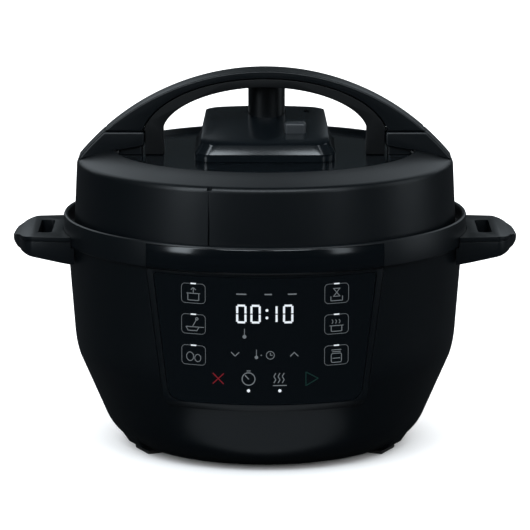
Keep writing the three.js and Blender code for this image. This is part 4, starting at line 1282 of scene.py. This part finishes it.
# ---------------------------------------------------------------- Inner lid
# A pressed stainless steel pan under the lid, with six lugs turned inward that lock under the liner's.
# It hangs from three screws and is pierced for the vent pipe and the float valve.
pan_low, pan_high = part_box("lid_pan")
pan = spin_outline(
    "inner_lid_pan",
    [
        (0.0, 0.1663),
        (0.1160, 0.1663),
        (0.1172, 0.1653),
        (0.1172, pan_low.z),
        (0.1184, pan_low.z),
        (0.1184, 0.1660),
        (0.1180, 0.1670),
        (0.1170, pan_high.z),
        (0.0800, pan_high.z),
        (0.0790, pan_high.z - 0.0004),
        (0.0770, pan_high.z - 0.0004),
        (0.0760, pan_high.z),
        (0.0, pan_high.z),
    ],
    steps=144,
)
for index in range(6):
    lug = lug_block("pan_lug", 0.1120, 0.1179, 12.0, pan_low.z, pan_low.z + 0.0020)
    soften(lug, 0.0005, 2)
    turned_lug = copy_turned(lug, "pan_lug_turned", math.radians(60.0 * index + 30.0))
    bpy.data.objects.remove(lug)
    carve(pan, turned_lug, "UNION")
pan_screw_places = []
for index in (1, 2, 3):
    screw_low, screw_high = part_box(f"lid_pan_screw_{index}")
    pan_screw_places.append(((screw_low.x + screw_high.x) / 2, (screw_low.y + screw_high.y) / 2))
pan_holes = [(valve_x, valve_y, 0.0052), (float_x, float_y, 0.0022)]
pan_holes += [(screw_x, screw_y, 0.0022) for screw_x, screw_y in pan_screw_places]
for hole_x, hole_y, radius in pan_holes:
    carve(pan, add_rod("drill", (hole_x, hole_y, 0.160), (hole_x, hole_y, 0.172), radius, 32))
set_piece(pan, drawn_steel, "lid", "stainless_steel", "lid_pan")

# ---------------------------------------------------------------- Sealing ring and its rack
# The moulded silicone ring that seals against the pot's rim, and the bent wire that holds it to the inner lid.
silicone = moulded("silicone", (0.62, 0.62, 0.60), (0.72, 0.72, 0.70), 0.48, 0.16, 1500.0, 0.10)
seal_low, seal_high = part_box("sealing_ring")
seal_outline = [(0.0990, seal_low.z)]
seal_outline += bend((0.1100, seal_low.z), (0.1108, seal_low.z + 0.0002), (0.1120, seal_low.z + 0.0019), 5)
seal_outline += [(0.1120, seal_high.z - 0.0005), (0.1115, seal_high.z), (0.1044, seal_high.z)]
seal_outline += bend((0.1040, seal_high.z - 0.0004), (0.1032, 0.1640), (0.1022, 0.1627), 4)
seal_outline += [(0.0994, seal_low.z + 0.0024), (0.0990, seal_low.z + 0.0018)]
seal = spin_outline("sealing_ring_silicone", seal_outline, steps=144)
set_piece(seal, silicone, "lid_seal", "silicone", "sealing_ring")
wire_low, wire_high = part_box("seal_rack")
wire = (wire_high.z - wire_low.z) / 2
wire_height = (wire_high.z + wire_low.z) / 2
wire_ring = wire_high.x - 0.0011
rack_outline = [
    (wire_ring + wire * math.cos(math.radians(a)), wire_height + wire * math.sin(math.radians(a)))
    for a in range(0, 360, 30)
]
rack = spin_outline("seal_rack_wire", rack_outline, steps=144)
set_piece(rack, drawn_steel, "lid_seal", "stainless_steel", "seal_rack")

# ---------------------------------------------------------------- Vent pipe, anti-block shield and float valve
# Turned stainless fittings clamped through the inner lid. The shield is a slotted cup that keeps food out
# of the pipe, and the float valve is a pin that steam lifts, with a silicone cap under it.
pipe_low, pipe_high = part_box("steam_vent_pipe")
pipe_outline = [
    (0.0016, pipe_low.z),
    (0.0044, pipe_low.z),
    (0.0048, pipe_low.z + 0.0004),
    (0.0048, 0.1683),
    (0.0081, 0.1683),
    (0.0085, 0.1687),
    (0.0085, 0.1706),
    (0.0081, 0.1710),
    (0.0048, 0.1710),
    (0.0048, pipe_high.z - 0.0010),
    (0.0038, pipe_high.z),
    (0.0016, pipe_high.z),
]
shield_outline = [
    (0.0, 0.1545),
    (0.0093, 0.1545),
    (0.0105, 0.1557),
    (0.0105, 0.1656),
    (0.0101, 0.1660),
    (0.0093, 0.1660),
    (0.0093, 0.1559),
    (0.0, 0.1559),
]
pin_low, pin_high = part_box("float_valve")
pin_outline = [
    (0.0, pin_low.z),
    (0.0012, pin_low.z),
    (0.0015, pin_low.z + 0.0003),
    (0.0015, 0.1710),
    (0.0027, 0.1710),
    (0.0030, 0.1713),
    (0.0030, 0.2030),
    (0.0016, 0.2040),
    (0.0016, pin_high.z - 0.0004),
    (0.0012, pin_high.z),
    (0.0, pin_high.z),
]
cap_ring = [
    (0.0018, 0.1575),
    (0.0042, 0.1575),
    (0.0046, 0.1579),
    (0.0046, 0.1605),
    (0.0030, 0.1620),
    (0.0018, 0.1620),
]


def turned_at(name, outline, place_x, place_y, steps=64):
    """A turned piece moved to its own upright axis."""
    piece = spin_outline(name, outline, steps)
    choose(piece)
    bpy.ops.object.mode_set(mode="EDIT")
    bpy.ops.mesh.select_all(action="SELECT")
    bpy.ops.transform.translate(value=(place_x, place_y, 0.0))
    bpy.ops.object.mode_set(mode="OBJECT")
    return piece


pipe = turned_at("steam_vent_pipe_turned", pipe_outline, valve_x, valve_y)
set_piece(pipe, drawn_steel, "lid", "stainless_steel", "steam_vent_pipe")
shield = turned_at("anti_block_shield_cup", shield_outline, valve_x, valve_y)
for index in range(4):
    angle = math.radians(45.0 * index)
    slot_cut = add_block("shield_slot", (-0.012, -0.0012, 0.1580), (0.012, 0.0012, 0.1635))
    choose(slot_cut)
    bpy.ops.object.mode_set(mode="EDIT")
    bpy.ops.mesh.select_all(action="SELECT")
    bpy.ops.transform.rotate(value=-angle, orient_axis="Z", center_override=(0, 0, 0))
    bpy.ops.transform.translate(value=(valve_x, valve_y, 0.0))
    bpy.ops.object.mode_set(mode="OBJECT")
    carve(shield, slot_cut)
set_piece(shield, drawn_steel, "lid", "stainless_steel", "anti_block_shield")
float_pin = turned_at("float_valve_pin", pin_outline, float_x, float_y, 40)
set_piece(float_pin, drawn_steel, "float_valve", "stainless_steel", "float_valve")
float_cap = turned_at("float_valve_cap_silicone", cap_ring, float_x, float_y, 40)
set_piece(float_cap, silicone, "float_valve", "silicone", "float_valve_cap")

# ---------------------------------------------------------------- Release lever
# The tipping lever under the housing, moulded in charcoal plastic: a hub on a steel pin, an arm that the
# button presses and a fork that lifts the knob.
lever_y, lever_z = 0.0070, 0.1970
lever = add_rod("release_lever_moulding", (-0.0090, lever_y, lever_z), (0.0250, lever_y, lever_z), 0.0032, 48)
soften(lever, 0.0004, 2, 60)
for low, high in (
    ((button_x - 0.0037, button_y - 0.0040, lever_z - 0.0004), (button_x + 0.0037, lever_y, lever_z + 0.0008)),
    ((-0.0090, lever_y, lever_z - 0.0008), (-0.0050, 0.0260, lever_z + 0.0008)),
    ((0.0070, lever_y, lever_z - 0.0008), (0.0110, 0.0260, lever_z + 0.0008)),
):
    arm = add_block("lever_arm", low, high)
    soften(arm, 0.0004, 2, 60)
    carve(lever, arm, "UNION")
carve(lever, add_rod("pin_bore", (-0.020, lever_y, lever_z), (0.040, lever_y, lever_z), 0.0018, 32))
set_piece(lever, charcoal, "release_lever", "button_grey", "release_lever")
axle = add_rod("release_lever_axle", (-0.0138, lever_y, lever_z), (0.0318, lever_y, lever_z), 0.0015, 32)
soften(axle, 0.0003, 2, 60)
set_piece(axle, drawn_steel, "lid", "stainless_steel", "release_lever_pin")

# ---------------------------------------------------------------- Base plate
# A pressed zinc-coated cover under the heater with eight cooling slots and a stiffening ring.
# Four screws fix it to the bowl, each at the bottom of a plain drilled hole.
cover_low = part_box("base_plate")[0]
cover = spin_outline(
    "base_plate_cover",
    [
        (0.0, cover_low.z),
        (0.0340, cover_low.z),
        (0.0348, cover_low.z + 0.0004),
        (0.0372, cover_low.z + 0.0004),
        (0.0380, cover_low.z),
        (0.0834, cover_low.z),
        (0.0840, cover_low.z + 0.0006),
        (0.0840, 0.0083),
        (0.0, 0.0083),
    ],
    steps=120,
)
for index in range(8):
    slot_cut = add_block("cooling_slot", (0.042, -0.002, 0.004), (0.066, 0.002, 0.0092))
    soften(slot_cut, 0.0018, 4, 80)
    turned_slot = copy_turned(slot_cut, "cooling_slot_turned", math.radians(22.5 + index * 45))
    bpy.data.objects.remove(slot_cut)
    carve(cover, turned_slot)
for index in range(4):
    angle = math.pi / 2 * index
    hole_x, hole_y = 0.0806 * math.cos(angle), 0.0806 * math.sin(angle)
    carve(cover, add_rod("drill", (hole_x, hole_y, 0.004), (hole_x, hole_y, 0.0095), 0.0019, 24))
for peg_x, peg_y in ((-0.034, 0.032), (0.034, 0.032), (-0.034, 0.066), (0.034, 0.066)):
    peg = add_rod("board_peg", (peg_x, peg_y, 0.0080), (peg_x, peg_y, 0.0105), 0.0025, 24)
    carve(cover, peg, "UNION")
set_piece(cover, zinc, "base", "zinc_steel", "base_plate")

# ---------------------------------------------------------------- Mains inlet
# A moulded socket with rounded walls in the back of the bowl, and three brass pins deep inside it.
inlet_shape = []
for corner_x, corner_z, start in (
    (inlet_high.x - 0.003, inlet_high.z - 0.003, 0),
    (inlet_low.x + 0.003, inlet_high.z - 0.003, 90),
    (inlet_low.x + 0.003, inlet_low.z + 0.003, 180),
    (inlet_high.x - 0.003, inlet_low.z + 0.003, 270),
):
    for i in range(7):
        angle = math.radians(start + 15 * i)
        inlet_shape.append((corner_x + 0.003 * math.cos(angle), corner_z + 0.003 * math.sin(angle)))
inlet_back = 0.1068
socket = push_outline(
    "mains_inlet_socket",
    [(x, inlet_back, z) for x, z in inlet_shape],
    (0.0, inlet_high.y - inlet_back, 0.0),
)
soften(socket, 0.0006, 3, 50)
mouth = push_outline(
    "inlet_mouth",
    [(x * 0.75, inlet_back + 0.0017, 0.0205 + (z - 0.0205) * 0.70) for x, z in inlet_shape],
    (0.0, 0.030, 0.0),
)
carve(socket, mouth)
block_behind = add_block("inlet_block", (-0.013, inlet_low.y, 0.0093), (0.013, inlet_back + 0.0010, 0.0250))
soften(block_behind, 0.0008, 2, 60)
carve(socket, block_behind, "UNION")
set_piece(socket, satin_black, "base", "satin_black", "power_inlet")
brass = worked_metal("brass", (0.52, 0.38, 0.15), (0.66, 0.50, 0.24), 0.30, 0.15, 60.0, 0.08, (1.0, 1.0, 6.0))
for pin_name in ("inlet_pin_line", "inlet_pin_neutral", "inlet_pin_earth"):
    low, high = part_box(pin_name)
    pin = add_block(pin_name + "_brass", low, high)
    soften(pin, 0.0004, 3, 60)
    set_piece(pin, brass, "base", "brass", pin_name)

# ---------------------------------------------------------------- Drip cup
# The clear grey plastic cup that slides into the bowl's back and catches condensation from the rim's trough.
# Its outer face carries on the bowl's curve.
cup_plastic = moulded(
    "drip_cup_plastic", (0.018, 0.020, 0.022), (0.034, 0.038, 0.042), 0.24, 0.10, 1400.0, 0.06
)
cup = add_block("drip_cup", cup_low, (cup_high.x, 0.140, cup_high.z))
cup_hollow = add_block(
    "cup_hollow",
    (cup_low.x + 0.002, cup_low.y + 0.002, cup_low.z + 0.002),
    (cup_high.x - 0.002, 0.1255 - 0.0024, cup_high.z + 0.005),
)
bowl_form = spin_outline(
    "bowl_form",
    [(0.0, 0.080), (0.12395, 0.080), (seam_radius - 0.0007, 0.1305), (0.0, 0.1305)],
    steps=180,
)
carve(cup, bowl_form, "INTERSECT")
soften(cup, 0.0008, 3, 50)
carve(cup, cup_hollow)
set_piece(cup, cup_plastic, "condensation_cup", "cup_plastic", "condensation_cup")

# ---------------------------------------------------------------- Screws
# Zinc-plated pan-head screws with a cross recess: one is modelled and each of the others is a copy.


def pan_head_screw(name, head_radius, head_height, shank_radius, length):
    """A screw standing on its head, with its cross recess underneath and a thread on the shank."""
    outline = [(0.0, 0.0), (head_radius * 0.55, 0.0)]
    outline += bend(outline[-1], (head_radius, 0.0002), (head_radius, head_height * 0.6), 5)
    outline += [(head_radius, head_height), (shank_radius * 0.86, head_height)]
    height = head_height + 0.0006
    while height < length - 0.0010:
        outline += [
            (shank_radius * 0.86, height),
            (shank_radius, height + 0.0003),
            (shank_radius * 0.86, height + 0.0006),
        ]
        height += 0.0007
    outline += [(shank_radius * 0.86, length - 0.0004), (shank_radius * 0.5, length), (0.0, length)]
    piece = spin_outline(name, outline, steps=24)
    for x, y in ((head_radius * 0.6, 0.0004), (0.0004, head_radius * 0.6)):
        carve(piece, add_block("recess", (-x, -y, -0.001), (x, y, head_height * 0.5)))
    return piece


def stand_screw(first, name, place, turn=0.0):
    """A copy of a screw, tipped about the Y axis if asked and moved to its hole."""
    copied = copy_turned(first, name, 0.0)
    choose(copied)
    bpy.ops.object.mode_set(mode="EDIT")
    bpy.ops.mesh.select_all(action="SELECT")
    bpy.ops.transform.rotate(value=-turn, orient_axis="Y", center_override=(0, 0, 0))
    bpy.ops.transform.translate(value=place)
    bpy.ops.object.mode_set(mode="OBJECT")
    return copied


def screw_group(pattern, places):
    for node, place, body, turn in places:
        piece = stand_screw(pattern, node + "_threaded", place, turn)
        set_piece(piece, zinc, body, "zinc_steel", node)
    bpy.data.objects.remove(pattern)


base_screw_places = []
for index in range(4):
    angle = math.pi / 2 * index
    place = (0.0806 * math.cos(angle), 0.0806 * math.sin(angle), 0.0032)
    base_screw_places.append((f"base_screw_{index + 1}", place, "base", 0.0))
screw_group(pan_head_screw("screw_pattern", 0.0026, 0.0015, 0.0015, 0.0048), base_screw_places)
screw_group(
    pan_head_screw("screw_pattern", 0.0036, 0.0033, 0.0019, 0.0192),
    [
        ("handle_screw_right", (0.087, 0.0, 0.1798), "lid", 0.0),
        ("handle_screw_left", (-0.087, 0.0, 0.1798), "lid", 0.0),
    ],
)
screw_group(
    pan_head_screw("screw_pattern", 0.0035, 0.0020, 0.0018, 0.0160),
    [
        (f"lid_pan_screw_{index}", (*place, 0.1640), "lid", 0.0)
        for index, place in enumerate(pan_screw_places, start=1)
    ],
)
screw_group(
    pan_head_screw("screw_pattern", 0.0034, 0.0020, 0.0017, 0.0115),
    [
        ("side_handle_screw_right", (0.1224, 0.0, 0.1275), "base", math.pi / 2),
        ("side_handle_screw_left", (-0.1224, 0.0, 0.1275), "base", -math.pi / 2),
    ],
)

# ---------------------------------------------------------------- Springs
# Coils of round spring steel: one returns the quick-release button, the other holds the sensor up to the pot.
spring_steel = worked_metal(
    "spring_steel", (0.44, 0.44, 0.44), (0.58, 0.58, 0.57), 0.30, 0.15, 80.0, 0.10, (1.0, 1.0, 1.0)
)


def coil_spring(name, radius, wire_radius, low, high, turns, place_x, place_y):
    """A closed wire wound up a helix between two heights."""
    section = []
    for i in range(12):
        angle = math.radians(30 * i)
        section.append(
            (radius + wire_radius * math.cos(angle), 0.0, low + wire_radius * (1 + math.sin(angle)))
        )
    piece = draw_chain(name, section)
    bpy.ops.object.mode_set(mode="OBJECT")
    winding = piece.modifiers.new("winding", "SCREW")
    winding.steps = 40
    winding.render_steps = 40
    winding.iterations = turns
    winding.screw_offset = (high - low - 2 * wire_radius) / turns
    finish_modifier(piece, winding)
    bpy.ops.object.mode_set(mode="EDIT")
    bpy.ops.mesh.select_all(action="SELECT")
    bpy.ops.mesh.remove_doubles(threshold=1e-6)
    bpy.ops.mesh.fill_holes(sides=0)
    bpy.ops.mesh.select_all(action="SELECT")
    bpy.ops.mesh.normals_make_consistent(inside=False)
    bpy.ops.transform.translate(value=(place_x, place_y, 0.0))
    bpy.ops.object.mode_set(mode="OBJECT")
    return piece


button_coil = coil_spring("button_spring_coil", 0.0032, 0.00045, 0.1896, 0.1955, 3, button_x, button_y)
set_piece(button_coil, spring_steel, "lid", "stainless_steel", "button_spring")
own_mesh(button_coil)
sensor_coil = coil_spring("sensor_spring_coil", 0.0065, 0.0006, 0.0215, 0.0363, 5, 0.0, 0.0)
set_piece(sensor_coil, spring_steel, "base", "stainless_steel", "sensor_spring")
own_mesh(sensor_coil)

# ---------------------------------------------------------------- Hidden works
# What stays out of sight inside the bowl keeps its plain shape and gets its real material.
# The circuit boards are green laminate, the display a dark window, the fuse sleeve silicone.
laminate = moulded("board_laminate", (0.012, 0.075, 0.032), (0.030, 0.13, 0.060), 0.42, 0.15, 700.0, 0.25)
display_glass = moulded(
    "display_window", (0.004, 0.004, 0.005), (0.010, 0.010, 0.012), 0.14, 0.06, 900.0, 0.02
)
for node, material in (
    ("control_board", laminate),
    ("power_board", laminate),
    ("display_module", display_glass),
    ("thermal_fuse", silicone),
    ("heat_shield", zinc),
    ("sensor_bracket", zinc),
    ("heater_terminal_left", brass),
    ("heater_terminal_right", brass),
):
    nodes[node].data.materials.clear()
    nodes[node].data.materials.append(material)
